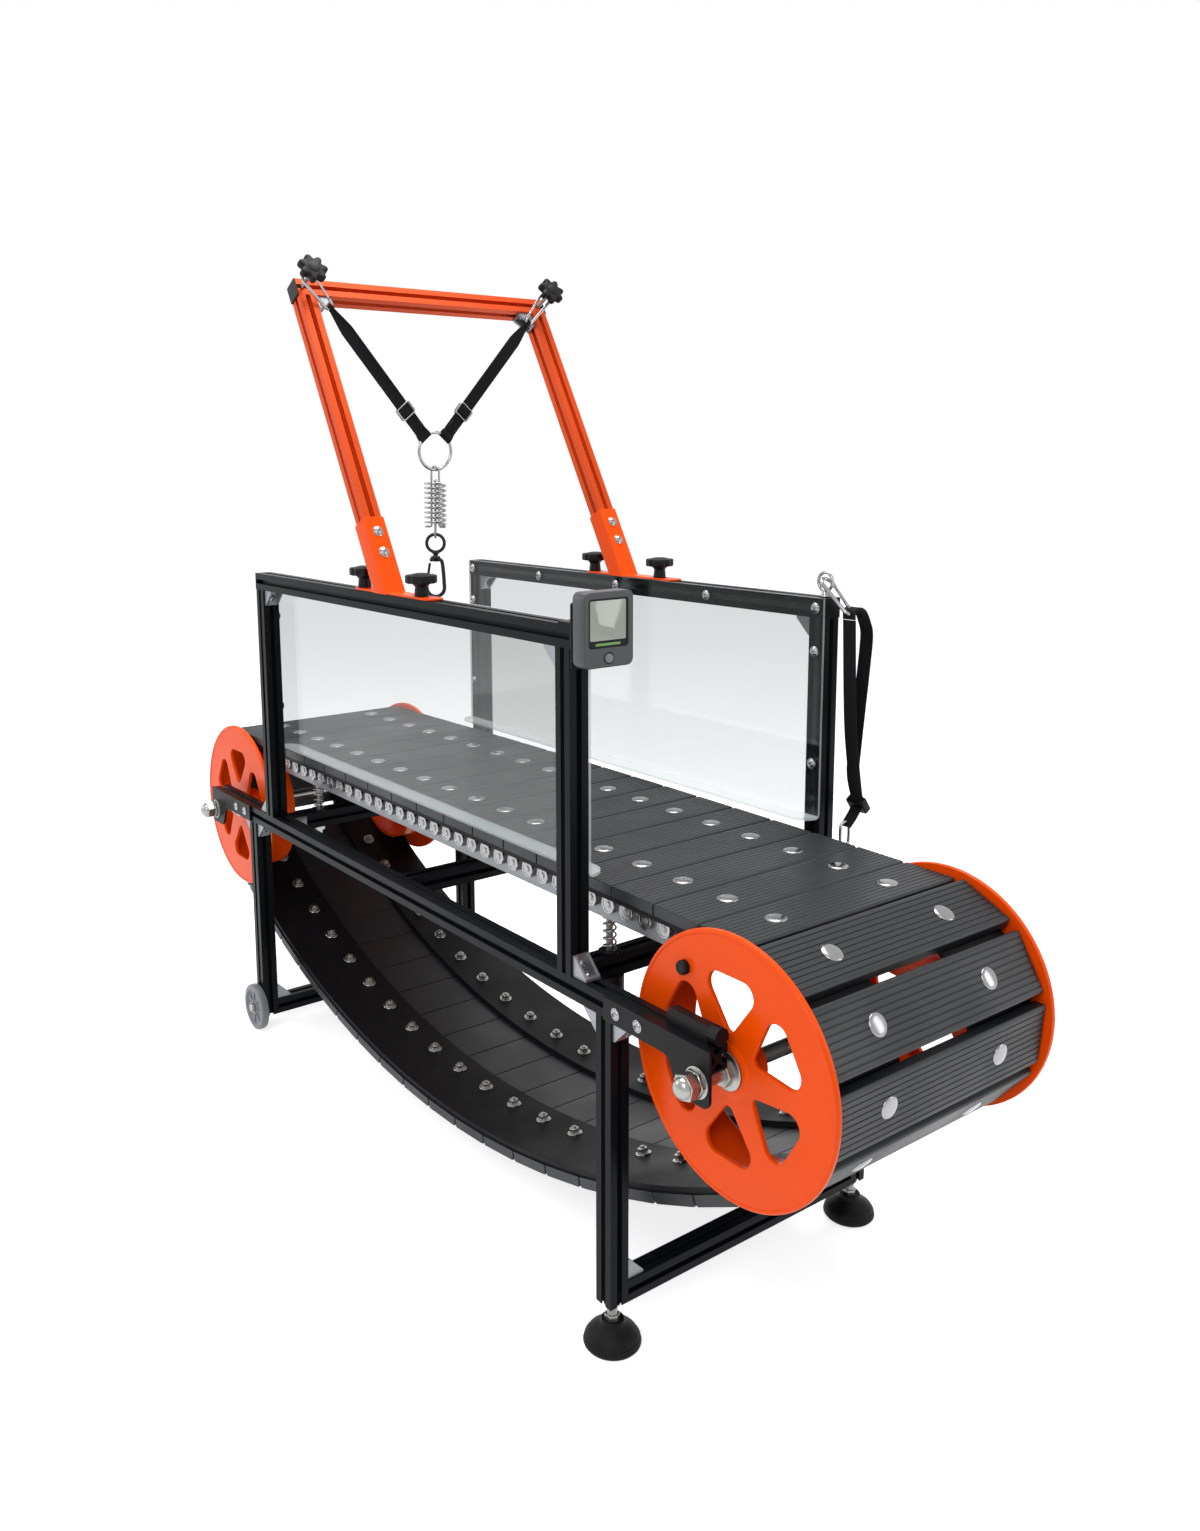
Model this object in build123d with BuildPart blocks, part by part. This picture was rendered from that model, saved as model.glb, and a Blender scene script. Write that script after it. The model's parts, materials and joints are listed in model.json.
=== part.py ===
"""Non-motorised slat treadmill for dogs.

A slat belt runs over two flanged drums and a sprung roller bed, between two
clear side guards. A leaning arch slides along the guard rails and carries a
webbing bridle with a shock spring and a lead hook.

Everything is drawn in the machine's own frame: X along the belt towards the
computer, Y across it, Z along the posts, the drum axles at AXLE_Z. The machine
rests on two feet at the front and two wheels at the rear, which leaves it
tilted a little, so every piece is turned by that tilt as it is exported.
"""

import os
from math import asin, atan2, cos, degrees, hypot, pi, radians, sin, sqrt, tan

from build123d import *

# Driving dimensions, mm
PROFILE = 30.0
SLOT_MOUTH = 8.2
SLOT_LIP = 2.0
SLOT_CHAMBER = 16.5
SLOT_DEPTH = 9.0
FRAME_WIDTH = 500.0
RAIL_LENGTH = 1476.0
LEG_SPAN = 1124.0
LEG_LENGTH = 400.0
LEG_BOTTOM = 60.0
GUARD_LENGTH = 960.0
POST_LENGTH = 430.0
PANEL_THICKNESS = 4.0
BED_BAR_X = 445.0

AXLE_SPACING = 1448.0
AXLE_DROP = 43.0
AXLE_RADIUS = 10.0
FLANGE_RADIUS = 166.0
FLANGE_THICKNESS = 7.0
FLANGE_INNER_Y = 197.0
RIM_WALL = 6.0
RIM_DEPTH = 58.0
BELT_THICKNESS = 8.0
BELT_NEUTRAL_RADIUS = 136.0
BELT_INNER_Y = 68.0
BELT_OUTER_Y = 190.0
TOP_CROWN = 5.0
BELT_SAG = 208.0
SLAT_COUNT = 46
SLAT_WIDTH = 81.0
SLAT_THICKNESS = 15.0
SLAT_LENGTH = 386.0
SLAT_CHAMFER = 3.0
FRONT_SLAT_X = 700.0

ROLLER_COUNT = 32
ROLLER_PITCH = 37.2
ROLLER_RADIUS = 13.0
BED_RAIL_HEIGHT = 32.0
BED_RAIL_WIDTH = 25.0
BED_SPRING_Y = 157.0
BED_SPRING_TURNS = 5
BED_TRAVEL = 8.0

ARCH_LEAN = 29.5
ARCH_REACH = 552.5
ARCH_FOOT_REAR = 96.0
ARCH_FOOT_FRONT = 142.0
SLEEVE_LENGTH = 124.0
SHEET = 3.0

FOOT_RADIUS = 39.0
WHEEL_RADIUS = 45.0
WHEEL_RISE = 20.0
RUNNING_GAP = 0.3

# Sizes worked out from the driving dimensions
HALF_WIDTH = FRAME_WIDTH / 2
SIDE_Y = HALF_WIDTH - PROFILE / 2
LEG_X = LEG_SPAN / 2 - PROFILE / 2
POST_X = GUARD_LENGTH / 2 - PROFILE / 2
RAIL_BOTTOM = LEG_BOTTOM + LEG_LENGTH
RAIL_TOP = RAIL_BOTTOM + PROFILE
POST_TOP = RAIL_TOP + POST_LENGTH
GUARD_TOP = POST_TOP + PROFILE
AXLE_Z = RAIL_TOP - AXLE_DROP
AXLE_X = AXLE_SPACING / 2
BELT_INNER_RADIUS = BELT_NEUTRAL_RADIUS - BELT_THICKNESS / 2
ROLLER_Z = AXLE_Z + BELT_INNER_RADIUS - ROLLER_RADIUS + 1.3
BED_RAIL_Z = ROLLER_Z - 24.3

# The tilt that puts the feet and the rear wheels on one floor
wheel_centre_z = LEG_BOTTOM + WHEEL_RISE
foot_span = 2 * LEG_X
TILT = degrees(
    atan2(wheel_centre_z, foot_span) - asin(WHEEL_RADIUS / hypot(foot_span, wheel_centre_z))
)
UP = Vector(sin(radians(TILT)), 0, cos(radians(TILT)))
stand = Pos(0, 0, -LEG_X * sin(radians(TILT))) * Rot(0, -TILT, 0)
pieces = []


def at_y(y):
    """A sketch plane across the machine at y: X to the right, Z up, extruding towards -Y."""
    return Plane.XZ.offset(-y)


def keep(builder, label):
    builder.part.label = label
    pieces.append(builder.part)


# Slotted profile section that the whole frame is cut from
with BuildSketch() as slot:
    with BuildLine():
        Polyline(
            (-SLOT_LIP, SLOT_CHAMBER / 2),
            (-SLOT_DEPTH, SLOT_MOUTH / 2),
            (-SLOT_DEPTH, -SLOT_MOUTH / 2),
            (-SLOT_LIP, -SLOT_CHAMBER / 2),
            close=True,
        )
    make_face()
    with Locations((-SLOT_LIP / 2, 0)):
        Rectangle(SLOT_LIP, SLOT_MOUTH)
with BuildSketch() as profile:
    Rectangle(PROFILE, PROFILE)
    with PolarLocations(PROFILE / 2, 4):
        add(slot.sketch, mode=Mode.SUBTRACT)

with BuildPart() as side_rails:
    with BuildSketch(Plane.YZ.offset(-RAIL_LENGTH / 2)):
        with Locations((-SIDE_Y, RAIL_TOP - PROFILE / 2), (SIDE_Y, RAIL_TOP - PROFILE / 2)):
            add(profile.sketch)
    extrude(amount=RAIL_LENGTH)
keep(side_rails, "side_rails")

with BuildPart() as legs:
    with BuildSketch(Plane.XY.offset(LEG_BOTTOM)):
        with GridLocations(2 * LEG_X, 2 * SIDE_Y, 2, 2):
            add(profile.sketch)
    extrude(amount=LEG_LENGTH)
keep(legs, "legs")

with BuildPart() as foot_bars:
    with BuildSketch(at_y(HALF_WIDTH - PROFILE)):
        with Locations((-LEG_X, LEG_BOTTOM + PROFILE / 2), (LEG_X, LEG_BOTTOM + PROFILE / 2)):
            add(profile.sketch)
    extrude(amount=FRAME_WIDTH - 2 * PROFILE)
keep(foot_bars, "foot_bars")

with BuildPart() as bed_bars:
    with BuildSketch(at_y(HALF_WIDTH - PROFILE)):
        with Locations(
            (-BED_BAR_X, RAIL_TOP - PROFILE / 2),
            (0, RAIL_TOP - PROFILE / 2),
            (BED_BAR_X, RAIL_TOP - PROFILE / 2),
        ):
            add(profile.sketch)
    extrude(amount=FRAME_WIDTH - 2 * PROFILE)
    with BuildSketch(Plane.XY.offset(RAIL_TOP)):
        with GridLocations(2 * BED_BAR_X, 2 * BED_SPRING_Y, 2, 2):
            RegularPolygon(16, 10)
    extrude(amount=SHEET)
    with BuildSketch(Plane.XY.offset(RAIL_TOP + SHEET)):
        with GridLocations(2 * BED_BAR_X, 2 * BED_SPRING_Y, 2, 2):
            RegularPolygon(5.6, 6)
    extrude(amount=-PROFILE - SHEET, mode=Mode.SUBTRACT)
keep(bed_bars, "bed_bars")

with BuildPart() as guard_posts:
    with BuildSketch(Plane.XY.offset(RAIL_TOP)):
        with GridLocations(2 * POST_X, 2 * SIDE_Y, 2, 2):
            add(profile.sketch)
    extrude(amount=POST_LENGTH)
keep(guard_posts, "guard_posts")

with BuildPart() as guard_rails:
    with BuildSketch(Plane.YZ.offset(-GUARD_LENGTH / 2)):
        with Locations((-SIDE_Y, GUARD_TOP - PROFILE / 2), (SIDE_Y, GUARD_TOP - PROFILE / 2)):
            add(profile.sketch)
    extrude(amount=GUARD_LENGTH)
    with BuildSketch(Plane.YZ.offset(GUARD_LENGTH / 2), Plane.YZ.offset(-GUARD_LENGTH / 2 - 2)):
        with Locations((-SIDE_Y, GUARD_TOP - PROFILE / 2), (SIDE_Y, GUARD_TOP - PROFILE / 2)):
            Rectangle(PROFILE, PROFILE)
    extrude(amount=2)
keep(guard_rails, "guard_rails")

# Clear guards: a bent sheet on the inner faces, its bottom lip turned in over the slat ends
PANEL_Y = HALF_WIDTH - PROFILE
LIP_Z = AXLE_Z + BELT_NEUTRAL_RADIUS + BELT_THICKNESS / 2 + SLAT_THICKNESS + TOP_CROWN + 10
LIP_DEPTH = 34.0
with BuildPart() as guard_panels:
    with BuildSketch(Plane.YZ.offset(-GUARD_LENGTH / 2)) as bent:
        with BuildLine():
            Polyline(
                (-PANEL_Y, GUARD_TOP),
                (-PANEL_Y, LIP_Z),
                (-PANEL_Y + LIP_DEPTH, LIP_Z),
                (-PANEL_Y + LIP_DEPTH, LIP_Z + PANEL_THICKNESS),
                (-PANEL_Y + PANEL_THICKNESS, LIP_Z + PANEL_THICKNESS),
                (-PANEL_Y + PANEL_THICKNESS, GUARD_TOP),
                close=True,
            )
        make_face()
        fillet(bent.vertices().group_by(Axis.Y)[0].sort_by(Axis.X)[0], 8)
        mirror(about=Plane.YZ)
    extrude(amount=GUARD_LENGTH)
    lip_corners = guard_panels.edges().filter_by(Axis.Z).filter_by(
        lambda e: abs(abs(e.center().Y) - PANEL_Y + LIP_DEPTH) < 0.1
    )
    fillet(lip_corners, 28)
keep(guard_panels, "guard_panels")

# Cast corner brackets: two legs of the triangle and two gussets
BRACKET = 28.0
BRACKET_WIDTH = 24.0
BRACKET_WALL = 4.0
with BuildSketch() as bracket_side:
    with BuildLine():
        Polyline((0, 0), (BRACKET, 0), (BRACKET, BRACKET_WALL), (BRACKET_WALL, BRACKET), (0, BRACKET), close=True)
    make_face()
with BuildPart(mode=Mode.PRIVATE) as corner_bracket:
    with BuildSketch(Plane.XZ.offset(-BRACKET_WIDTH / 2)):
        add(bracket_side.sketch)
    extrude(amount=BRACKET_WIDTH)
    with BuildSketch(Plane.XZ.offset(-BRACKET_WIDTH / 2 + BRACKET_WALL)):
        with BuildLine():
            Polyline(
                (BRACKET_WALL, BRACKET_WALL),
                (BRACKET + 1, BRACKET_WALL),
                (BRACKET + 1, BRACKET + 1),
                (BRACKET_WALL, BRACKET + 1),
                close=True,
            )
        make_face()
    extrude(amount=BRACKET_WIDTH - 2 * BRACKET_WALL, mode=Mode.SUBTRACT)


def bracket_at(x, y, z, x_dir, z_dir):
    """The cast bracket in the corner at x, y, z, its legs along x_dir and z_dir."""
    a, c = Vector(*x_dir), Vector(*z_dir)
    return Plane(origin=(x, y, z), x_dir=a, z_dir=c).location


seats = []
for side_y in (-SIDE_Y, SIDE_Y):
    inward = -1 if side_y > 0 else 1
    for end in (-1, 1):
        leg_face = end * (LEG_X - PROFILE / 2)
        seats.append(bracket_at(leg_face, side_y, RAIL_BOTTOM, (-end, 0, 0), (0, 0, -1)))
        outer_face = end * (LEG_X + PROFILE / 2)
        seats.append(bracket_at(outer_face, side_y, RAIL_BOTTOM, (end, 0, 0), (0, 0, -1)))
        seats.append(
            bracket_at(end * LEG_X, inward * -PANEL_Y, LEG_BOTTOM + PROFILE, (0, inward, 0), (0, 0, 1))
        )
        seats.append(bracket_at(end * (POST_X + PROFILE / 2), side_y, RAIL_TOP, (end, 0, 0), (0, 0, 1)))
        seats.append(bracket_at(end * (POST_X - PROFILE / 2), side_y, POST_TOP, (-end, 0, 0), (0, 0, -1)))
        bar_face = end * (BED_BAR_X - PROFILE / 2)
        seats.append(
            bracket_at(bar_face, inward * -PANEL_Y, RAIL_TOP - PROFILE / 2, (-end, 0, 0), (0, inward, 0))
        )
with BuildPart() as corner_brackets:
    with Locations(*seats):
        add(corner_bracket.part)
keep(corner_brackets, "corner_brackets")

# Flag-shaped axle plates on the outer faces of the side rails
PLATE = 4.0
PLATE_INNER_X = 552.0
PLATE_OUTER_X = 744.0
PLATE_SCREWS_X = (576.0, 618.0)
with BuildSketch() as plate_outline:
    with BuildLine():
        Polyline(
            (PLATE_INNER_X, RAIL_TOP),
            (PLATE_OUTER_X, RAIL_TOP),
            (PLATE_OUTER_X, AXLE_Z - 28),
            (AXLE_X - 32, AXLE_Z - 28),
            (AXLE_X - 52, AXLE_Z + 13),
            (PLATE_INNER_X, AXLE_Z + 13),
            close=True,
        )
    make_face()
    corners = plate_outline.vertices()
    fillet(corners.group_by(Axis.Y)[0], 11)
    fillet(corners.group_by(Axis.Y)[-1].sort_by(Axis.X)[-1], 6)
    fillet(plate_outline.vertices().sort_by_distance((AXLE_X - 52, AXLE_Z + 13))[0], 14)
    with Locations((AXLE_X, AXLE_Z)):
        RegularPolygon(AXLE_RADIUS + 0.2, 16, mode=Mode.SUBTRACT)
with BuildPart() as axle_plates:
    with BuildSketch(at_y(-HALF_WIDTH), at_y(HALF_WIDTH + PLATE)):
        add(plate_outline.sketch)
        mirror(plate_outline.sketch, about=Plane.YZ)
    extrude(amount=PLATE)
keep(axle_plates, "axle_plates")

# Threaded axles with hub washers, jam nuts and domed end nuts
HUB_FACE = FLANGE_INNER_Y + FLANGE_THICKNESS + 2
with BuildPart() as axles:
    for x in (-AXLE_X, AXLE_X):
        with BuildSketch(at_y(HALF_WIDTH + PLATE + 10)):
            with Locations((x, AXLE_Z)):
                RegularPolygon(AXLE_RADIUS, 12)
        extrude(amount=FRAME_WIDTH + 2 * PLATE + 20)
        with BuildSketch(at_y(HUB_FACE + RUNNING_GAP + 3), at_y(-HUB_FACE - RUNNING_GAP)):
            with Locations((x, AXLE_Z)):
                RegularPolygon(24, 14)
        extrude(amount=3)
        with BuildSketch(at_y(HUB_FACE + RUNNING_GAP + 13), at_y(-HUB_FACE - RUNNING_GAP - 3)):
            with Locations((x, AXLE_Z)):
                RegularPolygon(15, 6, major_radius=False)
        extrude(amount=10)
        with BuildSketch(at_y(HALF_WIDTH + PLATE + 8), at_y(-HALF_WIDTH - PLATE)):
            with Locations((x, AXLE_Z)):
                RegularPolygon(15, 6, major_radius=False)
        extrude(amount=8)
        for side in (-1, 1):
            face = Plane(origin=(x, side * (HALF_WIDTH + PLATE + 10), AXLE_Z), z_dir=(0, side, 0))
            with BuildSketch(face):
                RegularPolygon(15, 6, major_radius=False)
            extrude(amount=13)
            with BuildSketch(face.offset(13)):
                RegularPolygon(13, 8)
            extrude(amount=10, taper=32)
keep(axles, "axles")

# Flanged wheels: disc with six teardrop windows, rim and hub in one casting
with BuildSketch() as disc:
    RegularPolygon(FLANGE_RADIUS, 48)
with BuildSketch() as window:
    with Locations((54, 0)):
        RegularPolygon(8, 6)
    with Locations((97, -20), (97, 20)):
        RegularPolygon(17, 10)
    make_hull()
WINDOW_COUNT = 6
WHEEL_HUB_DEPTH = 40.0


def wheel_pair(x):
    with BuildPart() as pair:
        for side in (-1, 1):
            disc_plane = Plane(origin=(x, side * FLANGE_INNER_Y, AXLE_Z), x_dir=(1, 0, 0), z_dir=(0, side, 0))
            with BuildSketch(disc_plane):
                add(disc.sketch)
                with PolarLocations(0, WINDOW_COUNT, start_angle=30):
                    add(window.sketch, mode=Mode.SUBTRACT)
            extrude(amount=FLANGE_THICKNESS)
            rim_radius = BELT_INNER_RADIUS - RUNNING_GAP
            with BuildSketch(disc_plane):
                RegularPolygon(rim_radius, 40)
                RegularPolygon(rim_radius - RIM_WALL, 40, mode=Mode.SUBTRACT)
            extrude(amount=-RIM_DEPTH)
            with BuildSketch(disc_plane.offset(FLANGE_THICKNESS + 2)):
                RegularPolygon(30, 16)
            extrude(amount=-WHEEL_HUB_DEPTH)
            with BuildSketch(disc_plane.offset(FLANGE_THICKNESS + 2)):
                RegularPolygon(AXLE_RADIUS + 0.05, 12, major_radius=False)
            extrude(amount=-WHEEL_HUB_DEPTH, mode=Mode.SUBTRACT)
    return pair


front_wheels = wheel_pair(AXLE_X)
keep(front_wheels, "front_wheels")
rear_wheels = wheel_pair(-AXLE_X)
keep(rear_wheels, "rear_wheels")

with BuildPart() as cadence_magnet:
    magnet_angle = radians(127)
    with BuildSketch(at_y(-FLANGE_INNER_Y - FLANGE_THICKNESS)):
        with Locations((AXLE_X + 127 * cos(magnet_angle), AXLE_Z + 127 * sin(magnet_angle))):
            RegularPolygon(9, 12)
    extrude(amount=9)
    chamfer(cadence_magnet.faces().sort_by(Axis.Y)[0].edges(), 1.5)
keep(cadence_magnet, "cadence_magnet")

# Belt path: a crowned top run, two drum arcs and a hanging bottom run, all tangent
r_drum = BELT_NEUTRAL_RADIUS
r_top = (AXLE_X**2 + (r_drum + TOP_CROWN) ** 2 - r_drum**2) / (2 * TOP_CROWN)
r_low = (AXLE_X**2 + (r_drum + BELT_SAG) ** 2 - r_drum**2) / (2 * BELT_SAG)
top_turn = degrees(asin(AXLE_X / (r_top - r_drum)))
low_turn = degrees(asin(AXLE_X / (r_low - r_drum)))
belt_arcs = {
    "slats_top": (0, AXLE_Z + r_drum + TOP_CROWN - r_top, r_top, 90 + top_turn, 2 * top_turn),
    "slats_front": (AXLE_X, AXLE_Z, r_drum, 90 - top_turn, 180 - top_turn - low_turn),
    "slats_bottom": (0, AXLE_Z - r_drum - BELT_SAG + r_low, r_low, low_turn - 90, 2 * low_turn),
    "slats_rear": (-AXLE_X, AXLE_Z, r_drum, -90 - low_turn, 180 - top_turn - low_turn),
}
belt_length = sum(radius * radians(turn) for _, _, radius, _, turn in belt_arcs.values())
slat_pitch = belt_length / SLAT_COUNT
print("belt length", round(belt_length, 1), "slat pitch", round(slat_pitch, 2))


def belt_loop(offset):
    """The closed belt outline, offset outwards from the neutral line."""
    for x, z, radius, start, turn in belt_arcs.values():
        CenterArc((x, z), radius + offset, start, -turn)


for side, name in ((-1, "belt_left"), (1, "belt_right")):
    with BuildPart() as belt:
        near_y = -BELT_INNER_Y if side < 0 else BELT_OUTER_Y
        with BuildSketch(at_y(near_y)):
            with BuildLine():
                belt_loop(BELT_THICKNESS / 2)
            make_face()
            with BuildLine():
                belt_loop(-BELT_THICKNESS / 2)
            make_face(mode=Mode.SUBTRACT)
        extrude(amount=BELT_OUTER_Y - BELT_INNER_Y)
    keep(belt, name)

# Slats: chamfered planks square to the belt, one every slat pitch
slat_planes = {name: [] for name in belt_arcs}
start_s = 0.0
arc_starts = []
for name, (x, z, radius, start, turn) in belt_arcs.items():
    arc_starts.append((start_s, name, x, z, radius, start))
    start_s += radius * radians(turn)
first_s = r_top * radians(top_turn) + FRONT_SLAT_X
for i in range(SLAT_COUNT):
    s = (first_s + i * slat_pitch) % belt_length
    arc_s, name, x, z, radius, start = [a for a in arc_starts if a[0] <= s][-1]
    angle = radians(start) - (s - arc_s) / radius
    outer = radius + BELT_THICKNESS / 2
    slat_planes[name].append(
        Plane(
            origin=(x + outer * cos(angle), SLAT_LENGTH / 2, z + outer * sin(angle)),
            x_dir=(sin(angle), 0, -cos(angle)),
            z_dir=(0, -1, 0),
        )
    )
for name, planes in slat_planes.items():
    with BuildPart() as slats:
        with BuildSketch(*planes):
            with BuildLine():
                Polyline(
                    (-SLAT_WIDTH / 2, 0),
                    (SLAT_WIDTH / 2, 0),
                    (SLAT_WIDTH / 2, SLAT_THICKNESS - SLAT_CHAMFER),
                    (SLAT_WIDTH / 2 - SLAT_CHAMFER, SLAT_THICKNESS),
                    (SLAT_CHAMFER - SLAT_WIDTH / 2, SLAT_THICKNESS),
                    (-SLAT_WIDTH / 2, SLAT_THICKNESS - SLAT_CHAMFER),
                    close=True,
                )
            make_face()
        extrude(amount=SLAT_LENGTH)
    keep(slats, name)

# Sprung roller bed under the top run
BED_RAIL_Y = BED_SPRING_Y
BED_HALF = (ROLLER_COUNT - 1) * ROLLER_PITCH / 2 + 15
with BuildPart() as bed_rails:
    for side in (-1, 1):
        with BuildSketch(Plane.YZ.offset(-BED_HALF)):
            with Locations((side * BED_RAIL_Y, BED_RAIL_Z + BED_RAIL_HEIGHT / 2)):
                Rectangle(BED_RAIL_WIDTH, BED_RAIL_HEIGHT)
                with Locations((-side * SHEET, -SHEET)):
                    Rectangle(BED_RAIL_WIDTH, BED_RAIL_HEIGHT, mode=Mode.SUBTRACT)
        extrude(amount=2 * BED_HALF)
    with Locations((-BED_BAR_X, 0, BED_RAIL_Z + 20), (BED_BAR_X, 0, BED_RAIL_Z + 20)):
        Box(30, 2 * BED_RAIL_Y + BED_RAIL_WIDTH - 2 * SHEET, 6)
keep(bed_rails, "bed_rails")

ROLLER_FACE = BED_RAIL_Y + BED_RAIL_WIDTH / 2
with BuildPart() as bed_rollers:
    with BuildSketch(at_y(-ROLLER_FACE), at_y(ROLLER_FACE + 8)):
        with Locations((0, ROLLER_Z)):
            with GridLocations(ROLLER_PITCH, 1, ROLLER_COUNT, 1):
                RegularPolygon(ROLLER_RADIUS, 8)
    extrude(amount=8)
keep(bed_rollers, "bed_rollers")

with BuildPart() as bed_guides:
    with BuildSketch(Plane.XY.offset(BED_RAIL_Z)):
        with GridLocations(2 * BED_BAR_X, 2 * BED_SPRING_Y, 2, 2):
            RegularPolygon(5, 6)
    extrude(amount=RAIL_BOTTOM - 44 - BED_RAIL_Z)
    with BuildSketch(Plane.XY.offset(RAIL_BOTTOM - RUNNING_GAP - 8)):
        with Locations((-BED_BAR_X, -BED_SPRING_Y), (-BED_BAR_X, BED_SPRING_Y)):
            RegularPolygon(8.5, 6, major_radius=False)
    extrude(amount=8)
    with BuildSketch(Plane.XY.offset(RAIL_BOTTOM - 40)):
        with Locations((BED_BAR_X, -BED_SPRING_Y), (BED_BAR_X, BED_SPRING_Y)):
            RegularPolygon(8.5, 6, major_radius=False)
    extrude(amount=6)
keep(bed_guides, "bed_guides")

with BuildPart() as bed_buffers:
    with BuildSketch(Plane.XY.offset(RAIL_BOTTOM - RUNNING_GAP)):
        with Locations((BED_BAR_X, -BED_SPRING_Y), (BED_BAR_X, BED_SPRING_Y)):
            RegularPolygon(20, 20)
            RegularPolygon(5.3, 8, mode=Mode.SUBTRACT)
    extrude(amount=-33.6)
    chamfer(bed_buffers.faces().sort_by(Axis.Z)[:2].edges().filter_by(lambda e: e.length > 5), 3)
keep(bed_buffers, "bed_buffers")


def coil_run(axis_x, axis_y, z, radius, height, turns, direction=Vector(0, 0, 1)):
    """One unbroken coil centreline as tangent arcs, two to each half turn."""
    side = Vector(1, 0, 0) - direction * direction.X
    side = side.normalized()
    across = direction.cross(side)

    def point(t):
        a = 2 * pi * t * turns
        return (
            Vector(axis_x, axis_y, z)
            + side * (radius * cos(a))
            + across * (radius * sin(a))
            + direction * (height * t)
        )

    def tangent(t):
        a = 2 * pi * t * turns
        along = (side * -sin(a) + across * cos(a)) * (2 * pi * turns * radius) + direction * height
        return along.normalized()

    halves = int(2 * turns)
    for i in range(halves):
        a, b = point(i / halves), point((i + 1) / halves)
        ta, tb = tangent(i / halves), tangent((i + 1) / halves)
        v = b - a
        m = ta + tb
        k = 2 * (ta.dot(tb) - 1)
        d = (v.dot(m) - sqrt(v.dot(m) ** 2 - k * v.dot(v))) / k
        joint = (a + b) * 0.5 + (ta - tb) * (d / 2)
        for start, end, lean in ((a, joint, ta), (b, joint, tb * -1)):
            chord = joint - start
            flat = chord.normalized()
            bulge = (lean - flat * lean.dot(flat)).normalized()
            middle = start + chord * 0.5 + bulge * (chord.length / 2 * tan(flat.get_angle(lean) * pi / 360))
            if start == a:
                ThreePointArc(a, middle, joint)
            else:
                ThreePointArc(joint, middle, b)


def coil_gap(radius, height, turns, wire):
    """Least gap of a coil to itself, measured on points one turn and more apart."""
    steps = 48
    spots = []
    for i in range(int(turns * steps) + 1):
        a = 2 * pi * i / steps
        spots.append(Vector(radius * cos(a), radius * sin(a), height * i / (turns * steps)))
    near = min(
        (spots[i] - spots[j]).length
        for i in range(0, len(spots), 6)
        for j in range(i + steps // 2, len(spots))
    )
    return near - wire


BED_WIRE = 2.6
BED_COIL_RADIUS = 8.7
BED_SPRING_BOTTOM = RAIL_TOP + SHEET
bed_spring_height = BED_RAIL_Z - BED_SPRING_BOTTOM - BED_WIRE
print("bed spring gap", round(coil_gap(BED_COIL_RADIUS, bed_spring_height, BED_SPRING_TURNS, BED_WIRE), 2))
with BuildPart() as bed_springs:
    for x in (-BED_BAR_X, BED_BAR_X):
        for y in (-BED_SPRING_Y, BED_SPRING_Y):
            foot_z = BED_SPRING_BOTTOM + BED_WIRE / 2
            with BuildLine() as wire:
                coil_run(x, y, foot_z, BED_COIL_RADIUS, bed_spring_height, BED_SPRING_TURNS)
            with BuildSketch(Plane(origin=wire.wires()[0] @ 0, z_dir=wire.wires()[0] % 0)):
                RegularPolygon(BED_WIRE / 2, 3)
            sweep(path=wire.wires()[0])
keep(bed_springs, "bed_springs")

# Sliding arch: two leaning posts, a top bar, bent sheet feet and cast corners
lean = radians(ARCH_LEAN)
along_post = Vector(-sin(lean), 0, cos(lean))
off_front = Vector(cos(lean), 0, sin(lean))
arch_root = Vector(0, 0, GUARD_TOP)
POST_START = 15.0
with BuildPart() as arch_posts:
    start = arch_root + along_post * POST_START
    with BuildSketch(Plane(origin=start, x_dir=off_front, z_dir=along_post)):
        with Locations((0, -SIDE_Y), (0, SIDE_Y)):
            add(profile.sketch)
    extrude(amount=ARCH_REACH - PROFILE / 2 - POST_START)
keep(arch_posts, "arch_posts")

bar_centre = arch_root + along_post * ARCH_REACH
with BuildPart() as arch_bar:
    bar_plane = Plane(origin=bar_centre + Vector(0, -HALF_WIDTH, 0), x_dir=off_front, z_dir=(0, 1, 0))
    with BuildSketch(bar_plane):
        add(profile.sketch)
    extrude(amount=FRAME_WIDTH)
keep(arch_bar, "arch_bar")

with BuildPart() as arch_caps:
    with BuildSketch(bar_plane.offset(-2.5), bar_plane.offset(FRAME_WIDTH)):
        Rectangle(PROFILE, PROFILE)
    extrude(amount=2.5)
keep(arch_caps, "arch_caps")

with BuildPart() as arch_brackets:
    inner_corner = bar_centre - along_post * (PROFILE / 2)
    for side in (-1, 1):
        corner = inner_corner + Vector(0, side * PANEL_Y, 0)
        with Locations(Plane(origin=corner, x_dir=(0, -side, 0), z_dir=-along_post).location):
            add(corner_bracket.part)
keep(arch_brackets, "arch_brackets")

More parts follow.
